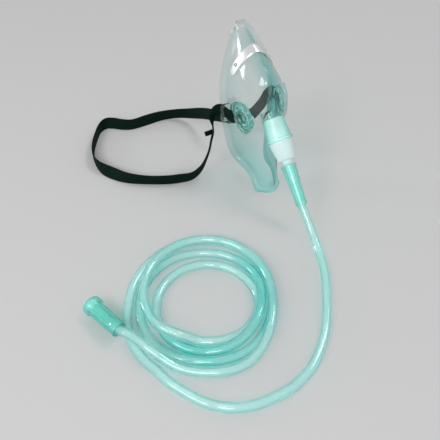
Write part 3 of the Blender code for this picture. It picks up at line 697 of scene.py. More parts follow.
def skin_group():
    """Moulded skin: the slow waves and fine grain of pressed or drawn vinyl."""
    found = bpy.data.node_groups.get("Moulded Skin")
    if found:
        return found
    group, start, end = new_group("Moulded Skin", "ShaderNodeTree", (
        ("INPUT", "Wave Scale", "NodeSocketFloat", 120.0),
        ("INPUT", "Grain Scale", "NodeSocketFloat", 1800.0),
        ("INPUT", "Grain", "NodeSocketFloat", 0.15),
        ("INPUT", "Roughness", "NodeSocketFloat", 0.10),
        ("INPUT", "Spread", "NodeSocketFloat", 0.06),
        ("OUTPUT", "Height", "NodeSocketFloat", None),
        ("OUTPUT", "Roughness", "NodeSocketFloat", None),
        ("OUTPUT", "Mottle", "NodeSocketFloat", None),
    ))
    links = group.links
    place = add_node(group, "ShaderNodeTexCoord", (-900, 0))
    waves = add_node(group, "ShaderNodeTexNoise", (-650, 150))
    grain = add_node(group, "ShaderNodeTexNoise", (-650, -150))
    waves.inputs["Detail"].default_value = 2.0
    grain.inputs["Detail"].default_value = 1.0
    links.new(place.outputs["Object"], waves.inputs["Vector"])
    links.new(place.outputs["Object"], grain.inputs["Vector"])
    links.new(start.outputs["Wave Scale"], waves.inputs["Scale"])
    links.new(start.outputs["Grain Scale"], grain.inputs["Scale"])
    fine = add_node(group, "ShaderNodeMath", (-400, -100), operation="MULTIPLY")
    links.new(grain.outputs["Fac"], fine.inputs[0])
    links.new(start.outputs["Grain"], fine.inputs[1])
    height = add_node(group, "ShaderNodeMath", (-200, 100), operation="ADD")
    links.new(waves.outputs["Fac"], height.inputs[0])
    links.new(fine.outputs[0], height.inputs[1])
    spread = add_node(group, "ShaderNodeMath", (-200, -150), operation="MULTIPLY_ADD")
    links.new(waves.outputs["Fac"], spread.inputs[0])
    links.new(start.outputs["Spread"], spread.inputs[1])
    links.new(start.outputs["Roughness"], spread.inputs[2])
    links.new(height.outputs[0], end.inputs["Height"])
    links.new(spread.outputs[0], end.inputs["Roughness"])
    links.new(waves.outputs["Fac"], end.inputs["Mottle"])
    return group


def tint_group():
    """Depth tint: vinyl looks deeper where the eye passes along it and where it is thick, and deeper
    still where painted shade is marked.
    """
    found = bpy.data.node_groups.get("Depth Tint")
    if found:
        return found
    group, start, end = new_group("Depth Tint", "ShaderNodeTree", (
        ("INPUT", "Edge", "NodeSocketFloat", 0.0),
        ("INPUT", "Power", "NodeSocketFloat", 2.0),
        ("INPUT", "Thick And Shade", "NodeSocketFloat", 0.0),
        ("INPUT", "Mottle", "NodeSocketFloat", 0.5),
        ("INPUT", "Uneven", "NodeSocketFloat", 0.12),
        ("INPUT", "Pale", "NodeSocketColor", (0.8, 0.93, 0.91, 1.0)),
        ("INPUT", "Deep", "NodeSocketColor", (0.3, 0.7, 0.66, 1.0)),
        ("OUTPUT", "Color", "NodeSocketColor", None),
    ))
    links = group.links
    curve = add_node(group, "ShaderNodeMath", (-500, 100), operation="POWER")
    links.new(start.outputs["Edge"], curve.inputs[0])
    links.new(start.outputs["Power"], curve.inputs[1])
    uneven = add_node(group, "ShaderNodeMath", (-500, -100), operation="MULTIPLY")
    links.new(start.outputs["Mottle"], uneven.inputs[0])
    links.new(start.outputs["Uneven"], uneven.inputs[1])
    bulk = add_node(group, "ShaderNodeMath", (-400, -250), operation="ADD")
    links.new(start.outputs["Thick And Shade"], bulk.inputs[0])
    links.new(uneven.outputs[0], bulk.inputs[1])
    total = add_node(group, "ShaderNodeMath", (-300, 0), operation="ADD", use_clamp=True)
    links.new(curve.outputs[0], total.inputs[0])
    links.new(bulk.outputs[0], total.inputs[1])
    mix = add_node(group, "ShaderNodeMix", (-100, 0), data_type="RGBA")
    links.new(total.outputs[0], mix.inputs["Factor"])
    links.new(start.outputs["Pale"], mix.inputs[6])
    links.new(start.outputs["Deep"], mix.inputs[7])
    links.new(mix.outputs[2], end.inputs["Color"])
    return group


def new_material(name):
    """A material with its tree, links and shader."""
    material = bpy.data.materials.new(name)
    material.use_nodes = True
    tree = material.node_tree
    return material, tree, tree.links, tree.nodes["Principled BSDF"]


def vinyl(name, pale, deep, clear, roughness, power=2.0, bump=0.15, waves=120.0, ior=1.42,
          shade=(0.86, 0.93, 0.92), uneven=0.10, coat=0.7):
    """Half-clear soft plastic: tinted glass with haze in it, which lets light through its shadow."""
    material, tree, links, shader = new_material(name)
    out = tree.nodes["Material Output"]
    shader.inputs["Transmission Weight"].default_value = clear
    shader.inputs["IOR"].default_value = ior
    shader.inputs["Coat Weight"].default_value = coat
    shader.inputs["Coat Roughness"].default_value = COAT_ROUGHNESS
    skin = add_node(tree, "ShaderNodeGroup", (-900, -100), node_tree=skin_group())
    skin.inputs["Wave Scale"].default_value = waves
    skin.inputs["Roughness"].default_value = roughness
    tint = add_node(tree, "ShaderNodeGroup", (-400, 200), node_tree=tint_group())
    tint.inputs["Power"].default_value = power
    tint.inputs["Uneven"].default_value = uneven
    tint.inputs["Pale"].default_value = (*pale, 1.0)
    tint.inputs["Deep"].default_value = (*deep, 1.0)
    edge = add_node(tree, "ShaderNodeLayerWeight", (-650, 300))
    edge.inputs["Blend"].default_value = 0.5
    # The 'thick' mark deepens the tint: real thickness along the nose's ridge, and painted shade at the
    # chin and between bunched tube turns.
    thick = add_node(tree, "ShaderNodeAttribute", (-650, 100), attribute_name="thick")
    links.new(thick.outputs["Fac"], tint.inputs["Thick And Shade"])
    bumped = add_node(tree, "ShaderNodeBump", (-400, -200))
    bumped.inputs["Strength"].default_value = bump
    bumped.inputs["Distance"].default_value = 0.0004
    links.new(edge.outputs["Facing"], tint.inputs["Edge"])
    links.new(skin.outputs["Mottle"], tint.inputs["Mottle"])
    links.new(tint.outputs["Color"], shader.inputs["Base Color"])
    links.new(skin.outputs["Roughness"], shader.inputs["Roughness"])
    links.new(skin.outputs["Height"], bumped.inputs["Height"])
    links.new(bumped.outputs["Normal"], shader.inputs["Normal"])
    path = add_node(tree, "ShaderNodeLightPath", (0, 400))
    through = add_node(tree, "ShaderNodeBsdfTransparent", (50, -300))
    through.inputs["Color"].default_value = (*shade, 1.0)
    mix = add_node(tree, "ShaderNodeMixShader", (300, 100))
    links.new(path.outputs["Is Shadow Ray"], mix.inputs[0])
    links.new(shader.outputs["BSDF"], mix.inputs[1])
    links.new(through.outputs["BSDF"], mix.inputs[2])
    links.new(mix.outputs[0], out.inputs["Surface"])
    return material


def brushed_metal(name, metal):
    """Rolled bright aluminium with fine drawn lines along the strip."""
    material, tree, links, shader = new_material(name)
    shader.inputs["Metallic"].default_value = 1.0
    place = add_node(tree, "ShaderNodeTexCoord", (-1100, 0))
    stretch = add_node(tree, "ShaderNodeMapping", (-900, 0))
    stretch.inputs["Scale"].default_value = (60.0, 3000.0, 1.0)
    lines = add_node(tree, "ShaderNodeTexNoise", (-700, 0))
    lines.inputs["Scale"].default_value = 1.0
    lines.inputs["Detail"].default_value = 3.0
    links.new(place.outputs["UV"], stretch.inputs["Vector"])
    links.new(stretch.outputs["Vector"], lines.inputs["Vector"])
    skin = add_node(tree, "ShaderNodeGroup", (-700, -300), node_tree=skin_group())
    skin.inputs["Wave Scale"].default_value = 350.0
    skin.inputs["Roughness"].default_value = 0.26
    skin.inputs["Spread"].default_value = 0.08
    shadeable = add_node(tree, "ShaderNodeMix", (-400, 200), data_type="RGBA")
    shadeable.inputs[6].default_value = (*[value * 0.86 for value in metal], 1.0)
    shadeable.inputs[7].default_value = (*metal, 1.0)
    links.new(lines.outputs["Fac"], shadeable.inputs["Factor"])
    links.new(shadeable.outputs[2], shader.inputs["Base Color"])
    links.new(skin.outputs["Roughness"], shader.inputs["Roughness"])
    bumped = add_node(tree, "ShaderNodeBump", (-300, -100))
    bumped.inputs["Strength"].default_value = 0.12
    bumped.inputs["Distance"].default_value = 0.00003
    links.new(lines.outputs["Fac"], bumped.inputs["Height"])
    links.new(bumped.outputs["Normal"], shader.inputs["Normal"])
    return material


def elastic_cloth(name, dark, light, cords):
    """Knitted elastic: yarn stitches over lengthwise rubber cords; U runs along, V across."""
    material, tree, links, shader = new_material(name)
    shader.inputs["Specular IOR Level"].default_value = 0.08
    shader.inputs["Sheen Weight"].default_value = 0.01
    shader.inputs["Sheen Roughness"].default_value = 0.4
    place = add_node(tree, "ShaderNodeTexCoord", (-1300, 0))
    split = add_node(tree, "ShaderNodeSeparateXYZ", (-1100, 0))
    links.new(place.outputs["UV"], split.inputs["Vector"])
    waves = []
    for index, (axis, rate) in enumerate((("X", 2 * math.pi / 0.0009), ("Y", 2 * math.pi * cords))):
        turn = add_node(tree, "ShaderNodeMath", (-900, -150 * index), operation="MULTIPLY")
        turn.inputs[1].default_value = rate
        links.new(split.outputs[axis], turn.inputs[0])
        wave = add_node(tree, "ShaderNodeMath", (-700, -150 * index), operation="SINE")
        links.new(turn.outputs[0], wave.inputs[0])
        waves.append(wave)
    knit = add_node(tree, "ShaderNodeMath", (-500, 0), operation="MULTIPLY_ADD")
    links.new(waves[0].outputs[0], knit.inputs[0])
    knit.inputs[1].default_value = 0.35
    links.new(waves[1].outputs[0], knit.inputs[2])
    level = add_node(tree, "ShaderNodeMapRange", (-300, 0))
    level.inputs["From Min"].default_value = -1.35
    level.inputs["From Max"].default_value = 1.35
    links.new(knit.outputs[0], level.inputs["Value"])
    skin = add_node(tree, "ShaderNodeGroup", (-500, -350), node_tree=skin_group())
    skin.inputs["Wave Scale"].default_value = 260.0
    skin.inputs["Roughness"].default_value = 0.50
    skin.inputs["Spread"].default_value = 0.25
    blend = add_node(tree, "ShaderNodeMix", (-100, 200), data_type="RGBA")
    blend.inputs[6].default_value = (*dark, 1.0)
    blend.inputs[7].default_value = (*light, 1.0)
    links.new(level.outputs["Result"], blend.inputs["Factor"])
    links.new(blend.outputs[2], shader.inputs["Base Color"])
    links.new(skin.outputs["Roughness"], shader.inputs["Roughness"])
    bumped = add_node(tree, "ShaderNodeBump", (-100, -150))
    bumped.inputs["Strength"].default_value = 0.6
    bumped.inputs["Distance"].default_value = 0.00012
    links.new(level.outputs["Result"], bumped.inputs["Height"])
    links.new(bumped.outputs["Normal"], shader.inputs["Normal"])
    return material


def run_tree(name, mesh, group, values):
    """Run a Geometry Nodes tree on a mesh, with its inputs set by socket identifier."""
    thing = working_object(name, mesh)
    modifier = thing.modifiers.new(group.name, "NODES")
    modifier.node_group = group
    for item in group.interface.items_tree:
        if item.item_type == "SOCKET" and item.in_out == "INPUT" and item.name in values:
            modifier[item.identifier] = values[item.name]
    thing.update_tag()
    bpy.context.view_layer.update()
    return settle(name, thing)


def finish_tree(group, geometry, material_socket, end):
    """Close a tree with Realize Instances and Set Material."""
    realize = add_node(group, "GeometryNodeRealizeInstances", (800, 0))
    paint = add_node(group, "GeometryNodeSetMaterial", (1000, 0))
    group.links.new(geometry, realize.inputs["Geometry"])
    group.links.new(realize.outputs["Geometry"], paint.inputs["Geometry"])
    group.links.new(material_socket, paint.inputs["Material"])
    group.links.new(paint.outputs["Geometry"], end.inputs["Geometry"])


def tube_tree():
    """Sweeps a hollow round wall along a polyline; the bore stops short of both ends."""
    group, start, end = new_group("Hollow Tube", "GeometryNodeTree", (
        ("INPUT", "Geometry", "NodeSocketGeometry", None),
        ("INPUT", "Radius", "NodeSocketFloat", 0.003),
        ("INPUT", "Bore Radius", "NodeSocketFloat", 0.002),
        ("INPUT", "End Wall", "NodeSocketFloat", 0.002),
        ("INPUT", "Sides", "NodeSocketInt", 24),
        ("INPUT", "Material", "NodeSocketMaterial", None),
        ("OUTPUT", "Geometry", "NodeSocketGeometry", None),
    ))
    links = group.links
    path = add_node(group, "GeometryNodeMeshToCurve", (-700, 0))
    links.new(start.outputs["Geometry"], path.inputs["Mesh"])
    reach = add_node(group, "GeometryNodeSplineParameter", (-700, -300))
    marked = add_node(group, "GeometryNodeStoreNamedAttribute", (-500, 0),
                      data_type="FLOAT", domain="POINT")
    marked.inputs["Name"].default_value = "along"
    links.new(path.outputs["Curve"], marked.inputs["Geometry"])
    links.new(reach.outputs["Length"], marked.inputs["Value"])
    trim = add_node(group, "GeometryNodeTrimCurve", (-300, -200), mode="LENGTH")
    size = add_node(group, "GeometryNodeCurveLength", (-500, -300))
    stop = add_node(group, "ShaderNodeMath", (-400, -450), operation="SUBTRACT")
    links.new(marked.outputs["Geometry"], size.inputs["Curve"])
    links.new(size.outputs["Length"], stop.inputs[0])
    links.new(start.outputs["End Wall"], stop.inputs[1])
    links.new(marked.outputs["Geometry"], trim.inputs["Curve"])
    links.new(start.outputs["End Wall"], trim.inputs[4])
    links.new(stop.outputs[0], trim.inputs[5])
    walls = []
    for index, (radius, curve) in enumerate((
            ("Radius", marked.outputs["Geometry"]), ("Bore Radius", trim.outputs["Curve"]))):
        ring = add_node(group, "GeometryNodeCurvePrimitiveCircle", (-100, 300 - 400 * index))
        links.new(start.outputs["Sides"], ring.inputs["Resolution"])
        links.new(start.outputs[radius], ring.inputs["Radius"])
        sweep = add_node(group, "GeometryNodeCurveToMesh", (150, 200 - 400 * index))
        sweep.inputs["Fill Caps"].default_value = True
        links.new(curve, sweep.inputs["Curve"])
        links.new(ring.outputs["Curve"], sweep.inputs["Profile Curve"])
        walls.append(sweep.outputs["Mesh"])
    flip = add_node(group, "GeometryNodeFlipFaces", (350, -200))
    links.new(walls[1], flip.inputs["Mesh"])
    smooth = add_node(group, "GeometryNodeSetShadeSmooth", (650, 0))
    join = add_node(group, "GeometryNodeJoinGeometry", (500, 0))
    links.new(walls[0], join.inputs["Geometry"])
    links.new(flip.outputs["Mesh"], join.inputs["Geometry"])
    links.new(join.outputs["Geometry"], smooth.inputs["Geometry"])
    finish_tree(group, smooth.outputs["Geometry"], start.outputs["Material"], end)
    return group


def perforation_tree():
    """Cuts a circle of round holes through a disc."""
    group, start, end = new_group("Vent Perforations", "GeometryNodeTree", (
        ("INPUT", "Geometry", "NodeSocketGeometry", None),
        ("INPUT", "Holes", "NodeSocketInt", 8),
        ("INPUT", "Hole Radius", "NodeSocketFloat", 0.0011),
        ("INPUT", "Circle Radius", "NodeSocketFloat", 0.0062),
        ("INPUT", "Depth", "NodeSocketFloat", 0.02),
        ("INPUT", "Material", "NodeSocketMaterial", None),
        ("OUTPUT", "Geometry", "NodeSocketGeometry", None),
    ))
    links = group.links
    ring = add_node(group, "GeometryNodeMeshCircle", (-500, 0))
    links.new(start.outputs["Holes"], ring.inputs["Vertices"])
    links.new(start.outputs["Circle Radius"], ring.inputs["Radius"])
    drill = add_node(group, "GeometryNodeMeshCylinder", (-500, -300))
    drill.inputs["Vertices"].default_value = 24
    links.new(start.outputs["Hole Radius"], drill.inputs["Radius"])
    links.new(start.outputs["Depth"], drill.inputs["Depth"])
    drills = add_node(group, "GeometryNodeInstanceOnPoints", (-200, -100))
    links.new(ring.outputs["Mesh"], drills.inputs["Points"])
    links.new(drill.outputs["Mesh"], drills.inputs["Instance"])
    cut = add_node(group, "GeometryNodeMeshBoolean", (200, 0), operation="DIFFERENCE",
                   solver="EXACT")
    links.new(start.outputs["Geometry"], cut.inputs["Mesh 1"])
    links.new(drills.outputs["Instances"], cut.inputs["Mesh 2"])
    finish_tree(group, cut.outputs["Mesh"], start.outputs["Material"], end)
    return group


def rib_tree():
    """Sets rounded ribs round a turned body, along its length."""
    group, start, end = new_group("Grip Ribs", "GeometryNodeTree", (
        ("INPUT", "Geometry", "NodeSocketGeometry", None),
        ("INPUT", "Ribs", "NodeSocketInt", 8),
        ("INPUT", "Rib Radius", "NodeSocketFloat", 0.0009),
        ("INPUT", "Circle Radius", "NodeSocketFloat", 0.0044),
        ("INPUT", "From", "NodeSocketFloat", 0.006),
        ("INPUT", "To", "NodeSocketFloat", 0.02),
        ("INPUT", "Material", "NodeSocketMaterial", None),
        ("OUTPUT", "Geometry", "NodeSocketGeometry", None),
    ))
    links = group.links
    points = []
    for index, label in enumerate(("From", "To")):
        point = add_node(group, "ShaderNodeCombineXYZ", (-900, -150 * index))
        links.new(start.outputs[label], point.inputs["Z"])
        points.append(point)
    line = add_node(group, "GeometryNodeCurvePrimitiveLine", (-700, 0))
    links.new(points[0].outputs[0], line.inputs["Start"])
    links.new(points[1].outputs[0], line.inputs["End"])
    fine = add_node(group, "GeometryNodeResampleCurve", (-500, 0))
    fine.inputs["Count"].default_value = 25
    links.new(line.outputs["Curve"], fine.inputs["Curve"])
    reach = add_node(group, "GeometryNodeSplineParameter", (-700, -450))
    swell = add_node(group, "ShaderNodeFloatCurve", (-500, -450))
    bow = swell.mapping.curves[0]
    bow.points[0].location = (0.0, 0.15)
    bow.points[1].location = (1.0, 0.15)
    bow.points.new(0.14, 1.0)
    bow.points.new(0.86, 1.0)
    swell.mapping.update()
    links.new(reach.outputs["Factor"], swell.inputs["Value"])
    ring = add_node(group, "GeometryNodeCurvePrimitiveCircle", (-500, -200))
    ring.inputs["Resolution"].default_value = 16
    links.new(start.outputs["Rib Radius"], ring.inputs["Radius"])
    rib = add_node(group, "GeometryNodeCurveToMesh", (-50, 0))
    rib.inputs["Fill Caps"].default_value = True
    links.new(fine.outputs["Curve"], rib.inputs["Curve"])
    links.new(ring.outputs["Curve"], rib.inputs["Profile Curve"])
    links.new(swell.outputs["Value"], rib.inputs["Scale"])
    circle = add_node(group, "GeometryNodeMeshCircle", (-50, -300))
    links.new(start.outputs["Ribs"], circle.inputs["Vertices"])
    links.new(start.outputs["Circle Radius"], circle.inputs["Radius"])
    ribs = add_node(group, "GeometryNodeInstanceOnPoints", (200, -100))
    links.new(circle.outputs["Mesh"], ribs.inputs["Points"])
    links.new(rib.outputs["Mesh"], ribs.inputs["Instance"])
    smooth = add_node(group, "GeometryNodeSetShadeSmooth", (400, -100))
    join = add_node(group, "GeometryNodeJoinGeometry", (600, 0))
    links.new(ribs.outputs["Instances"], smooth.inputs["Geometry"])
    links.new(start.outputs["Geometry"], join.inputs["Geometry"])
    links.new(smooth.outputs["Geometry"], join.inputs["Geometry"])
    finish_tree(group, join.outputs["Geometry"], start.outputs["Material"], end)
    return group


def cuff_start():
    """How far down the port's axis the tube cuff begins."""
    return PORT_LENGTH + TOUCH + ADAPTER_LENGTH + NIPPLE_SHOWN


def cuff_point(along):
    """A point on the port's axis, measured from the cuff's mouth, in the row frame."""
    return MASK_POSE @ port_axis() @ Vector((0, 0, cuff_start() + along))


def connector_pose():
    axis = (CONNECTOR_TAIL - CONNECTOR_MOUTH).normalized()
    turn = axis.to_track_quat("Z", "X").to_matrix().to_4x4()
    return Matrix.Translation(placed(CONNECTOR_MOUTH)) @ turn


def coil_points():
    """The wound turns from their stations, a point every few degrees by a smooth curve."""
    stations = [Vector(station) for station in COIL_TURNS]
    points = []
    ends = [stations[0] * 2 - stations[1], *stations, stations[-1] * 2 - stations[-2]]
    for index in range(1, len(ends) - 2):
        before, start, end, after = ends[index - 1:index + 3]
        steps = max(round((end.x - start.x) / COIL_STEP), 1)
        for step in range(steps):
            share = step / steps
            wanted = start.lerp(end, share)
            for part in (1, 2):
                back = (end[part] - before[part]) / (end.x - before.x)
                ahead = (after[part] - start[part]) / (after.x - start.x)
                span = end.x - start.x
                wanted[part] = (
                    start[part] * (1 + 2 * share) * (1 - share) ** 2
                    + end[part] * share ** 2 * (3 - 2 * share)
                    + span * back * share * (1 - share) ** 2
                    - span * ahead * share ** 2 * (1 - share))
            points.append(wanted)
    points.append(stations[-1])
    route = []
    for degrees, radius, height in points:
        angle = math.radians(degrees)
        turn = Vector((-math.cos(angle) * radius, math.sin(angle) * radius,
                       max(height, TABLE_REST)))
        route.append(placed(COIL_PLACE + turn / 1000))
    return route


def tube_route():
    """The tube's whole way: out of the cuff, down, round and into the connector."""
    start = [cuff_point(CUFF_LENGTH + past) for past in (-TUBE_IN_END, TOUCH, TOUCH + TUBE_STRAIGHT)]
    axis = (CONNECTOR_TAIL - CONNECTOR_MOUTH).normalized()
    ending = [placed(CONNECTOR_TAIL), placed(CONNECTOR_TAIL - axis * TUBE_IN_END)]
    return start + [placed(point) for point in TUBE_ROUTE] + coil_points() + ending


class OXYGENMASK_OT_stage(Operator):
    """Lay the pale table, light it softly and set the camera"""

    bl_idname = "oxygen_mask.stage"
    bl_label = "Stage"

    def execute(self, context):
        scene = context.scene
        settings = scene.oxygen_mask_stage
        scene.view_settings.view_transform = "Standard"
        half = 3.0
        floor = mesh_from("table_top", [(-half, -half, 0), (half, -half, 0), (half, half, 0),
                                        (-half, half, 0)], [(0, 1, 2, 3)])
        add_piece("table_top", floor, self.floor_material(settings.floor))
        self.add_softbox("key_softbox", (0.75, 0.35, 1.25), (0.36, 0.36), settings.key)
        self.add_softbox("window_softbox", (-1.56, 0.26, 0.38), (0.24, 0.40), settings.window)
        self.add_softbox("front_softbox", (-0.05, -0.79, 0.67), (0.22, 0.24), settings.front)
        self.add_softbox("high_softbox", (-0.56, -0.72, 0.81), (0.52, 0.38), settings.high)
        scene.world = self.room(settings.world, settings.room_seen)
        camera = bpy.data.cameras.new("camera")
        camera.angle = CAMERA_ANGLE
        camera.clip_start = 0.01
        thing = bpy.data.objects.new("camera", camera)
        thing.location = CAMERA_PLACE
        thing.rotation_euler = (CAMERA_TILT, 0, 0)
        scene.collection.objects.link(thing)
        scene.camera = thing
        return {"FINISHED"}

    def room(self, light, seen):
        """An even white room, which gloss and clear pieces show paler than it lights them."""
        world = bpy.data.worlds.new("studio")
        world.use_nodes = True
        tree = world.node_tree
        path = add_node(tree, "ShaderNodeLightPath", (-800, 0))
        looks = None
        for index, kind in enumerate(("Is Camera Ray", "Is Glossy Ray", "Is Transmission Ray")):
            if looks is None:
                looks = path.outputs[kind]
                continue
            either = add_node(tree, "ShaderNodeMath", (-600, -150 * index), operation="MAXIMUM")
            tree.links.new(looks, either.inputs[0])
            tree.links.new(path.outputs[kind], either.inputs[1])
            looks = either.outputs[0]
        strength = add_node(tree, "ShaderNodeMapRange", (-300, 0))
        strength.inputs["To Min"].default_value = light
        strength.inputs["To Max"].default_value = seen
        tree.links.new(looks, strength.inputs["Value"])
        back = tree.nodes["Background"]
        back.inputs["Color"].default_value = (1.0, 1.0, 1.0, 1.0)
        tree.links.new(strength.outputs["Result"], back.inputs["Strength"])
        return world

    def floor_material(self, tone):
        material, tree, links, shader = new_material("pale table")
        shader.inputs["Base Color"].default_value = (*tone, 1.0)
        shader.inputs["Specular IOR Level"].default_value = 0.15
        skin = add_node(tree, "ShaderNodeGroup", (-500, 0), node_tree=skin_group())
        skin.inputs["Wave Scale"].default_value = 12.0
        skin.inputs["Roughness"].default_value = 0.60
        links.new(skin.outputs["Roughness"], shader.inputs["Roughness"])
        return material

    def add_softbox(self, name, place, size, power):
        light = bpy.data.lights.new(name, "AREA")
        light.shape = "RECTANGLE"
        light.size, light.size_y = size
        light.energy = power
        thing = bpy.data.objects.new(name, light)
        thing.location = place
        thing.rotation_euler = (Vector((0.0, -0.05, 0.0)) - Vector(place)).to_track_quat(
            "-Z", "Y").to_euler()
        bpy.context.scene.collection.objects.link(thing)


class OXYGENMASK_OT_tube(Operator):
    """Sweep the supply tube along its run and its coil"""

    bl_idname = "oxygen_mask.tube"
    bl_label = "Supply Tube"

    def execute(self, context):
        settings = context.scene.oxygen_mask_tube
        route = tube_route()
        points = smooth_route(route, 3)
        line = bpy.data.meshes.new("supply_tube_path")
        line.from_pydata([tuple(point) for point in points],
                         [(index, index + 1) for index in range(len(points) - 1)], [])
        skin = vinyl("mint tube vinyl", settings.pale, settings.deep, 0.86, 0.08, power=1.5,
                     bump=0.10, waves=90.0, ior=1.22, shade=(0.80, 0.83, 0.83), coat=1.0)
        mesh = run_tree("supply_tube", line, tube_tree(), {
            "Radius": settings.diameter / 2, "Bore Radius": settings.bore / 2,
            "End Wall": 0.002, "Sides": settings.sides, "Material": skin})
        self.mark_bunch_shade(mesh, points)
        tube = add_piece("supply_tube", mesh, skin)
        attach(tube, "root")
        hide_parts("oxygen_tube", "tube_coil")
        exit_point = cuff_point(CUFF_LENGTH)
        return {"FINISHED"}

    def mark_bunch_shade(self, mesh, points):
        """Paint shade where turns bunch: mark how many other turns lie round each place, as a deeper
        tint.
        """
        tree = KDTree(len(points))
        for index, point in enumerate(points):
            tree.insert(point, index)
        tree.balance()
        crowd = []
        for index, point in enumerate(points):
            near = tree.find_range(point, BUNCH_REACH)
            others = [found for _, found, _ in near if abs(found - index) > BUNCH_SKIP]
            crowd.append(min(max(len(others) - BUNCH_FREE, 0) * BUNCH_DEPTH, BUNCH_DEEPEST))
        # On the tube the 'thick' mark holds only painted shade: the deeper tint between bunched turns.
        marks = mesh.attributes.new("thick", "FLOAT", "POINT")
        for vertex, mark in zip(mesh.vertices, marks.data):
            mark.value = crowd[tree.find(vertex.co)[1]]


class OXYGENMASK_OT_ends(Operator):
    """Turn the cuff at the mask and the ribbed connector at the supply end"""

    bl_idname = "oxygen_mask.ends"
    bl_label = "Tube Ends"

    def execute(self, context):
        self.make_cuff(context.scene.oxygen_mask_fittings, context.scene.oxygen_mask_tube)
        self.make_connector(context.scene.oxygen_mask_fittings, context.scene.oxygen_mask_tube)
        return {"FINISHED"}

    def make_cuff(self, settings, tube):
        socket = NIPPLE_RADIUS - BARB_HEIGHT + TOUCH + 0.0002
        bore = tube.diameter / 2 + 0.00005
        length, band, proud = CUFF_LENGTH, CUFF_BAND, CUFF_BAND_HEIGHT
        profile = [
            (socket, 0.0), (CUFF_MOUTH_RADIUS + proud, 0.0), (CUFF_MOUTH_RADIUS + proud, band),
            (CUFF_MOUTH_RADIUS, band + 0.0004),
            (CUFF_MOUTH_RADIUS * 0.55 + CUFF_TAIL_RADIUS * 0.45, length * 0.45),
            (CUFF_TAIL_RADIUS, length - band - 0.0004), (CUFF_TAIL_RADIUS + proud, length - band),
            (CUFF_TAIL_RADIUS + proud, length), (bore, length), (bore, length - 0.0085),
            (socket, length - 0.0105),
        ]
        mesh = turned_mesh("tube_cuff", rounded(profile, 0.0005), TURNED_SIDES)
        mesh.transform(MASK_POSE @ port_axis() @ Matrix.Translation((0, 0, cuff_start())))
        skin = vinyl("soft cuff vinyl", settings.cuff_pale, settings.cuff_deep, 0.74, 0.10,
                     power=1.2, ior=1.3, shade=(0.66, 0.78, 0.76), coat=1.0)
        cuff = add_piece("tube_cuff", mesh, skin)
        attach(cuff, "root")
        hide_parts("mask_end_cuff")

    def make_connector(self, settings, tube):
        length = CONNECTOR_LENGTH
        body, mouth, tail = CONNECTOR_BODY_RADIUS, CONNECTOR_MOUTH_RADIUS, CONNECTOR_TAIL_RADIUS
        inside = tube.diameter / 2 + 0.00005
        profile = [
            (CONNECTOR_BORE + 0.0008, 0.0), (mouth, 0.0), (mouth, 0.0034), (body + 0.0002, 0.0050),
            (body, length - 0.0050), (tail, length - 0.0036), (tail, length), (inside, length),
            (inside, length - 0.0085), (CONNECTOR_BORE - 0.0010, length - 0.0100),
            (CONNECTOR_BORE, length - 0.0130), (CONNECTOR_BORE, 0.0020),
        ]
        skin = vinyl("ribbed connector vinyl", settings.connector_pale, settings.connector_deep,
                     0.72, 0.10, power=1.4, ior=1.3, shade=(0.55, 0.74, 0.70))
        mesh = run_tree(
            "ribbed_connector", turned_mesh("ribbed_connector", rounded(profile, 0.0005), TURNED_SIDES),
            rib_tree(), {
                "Ribs": settings.ribs, "Rib Radius": settings.rib_radius,
                "Circle Radius": body - 0.0003, "From": 0.0046, "To": length - 0.0046,
                "Material": skin})
        mesh.transform(connector_pose())
        connector = add_piece("ribbed_connector", mesh, skin)
        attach(connector, "root")
        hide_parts("supply_connector")


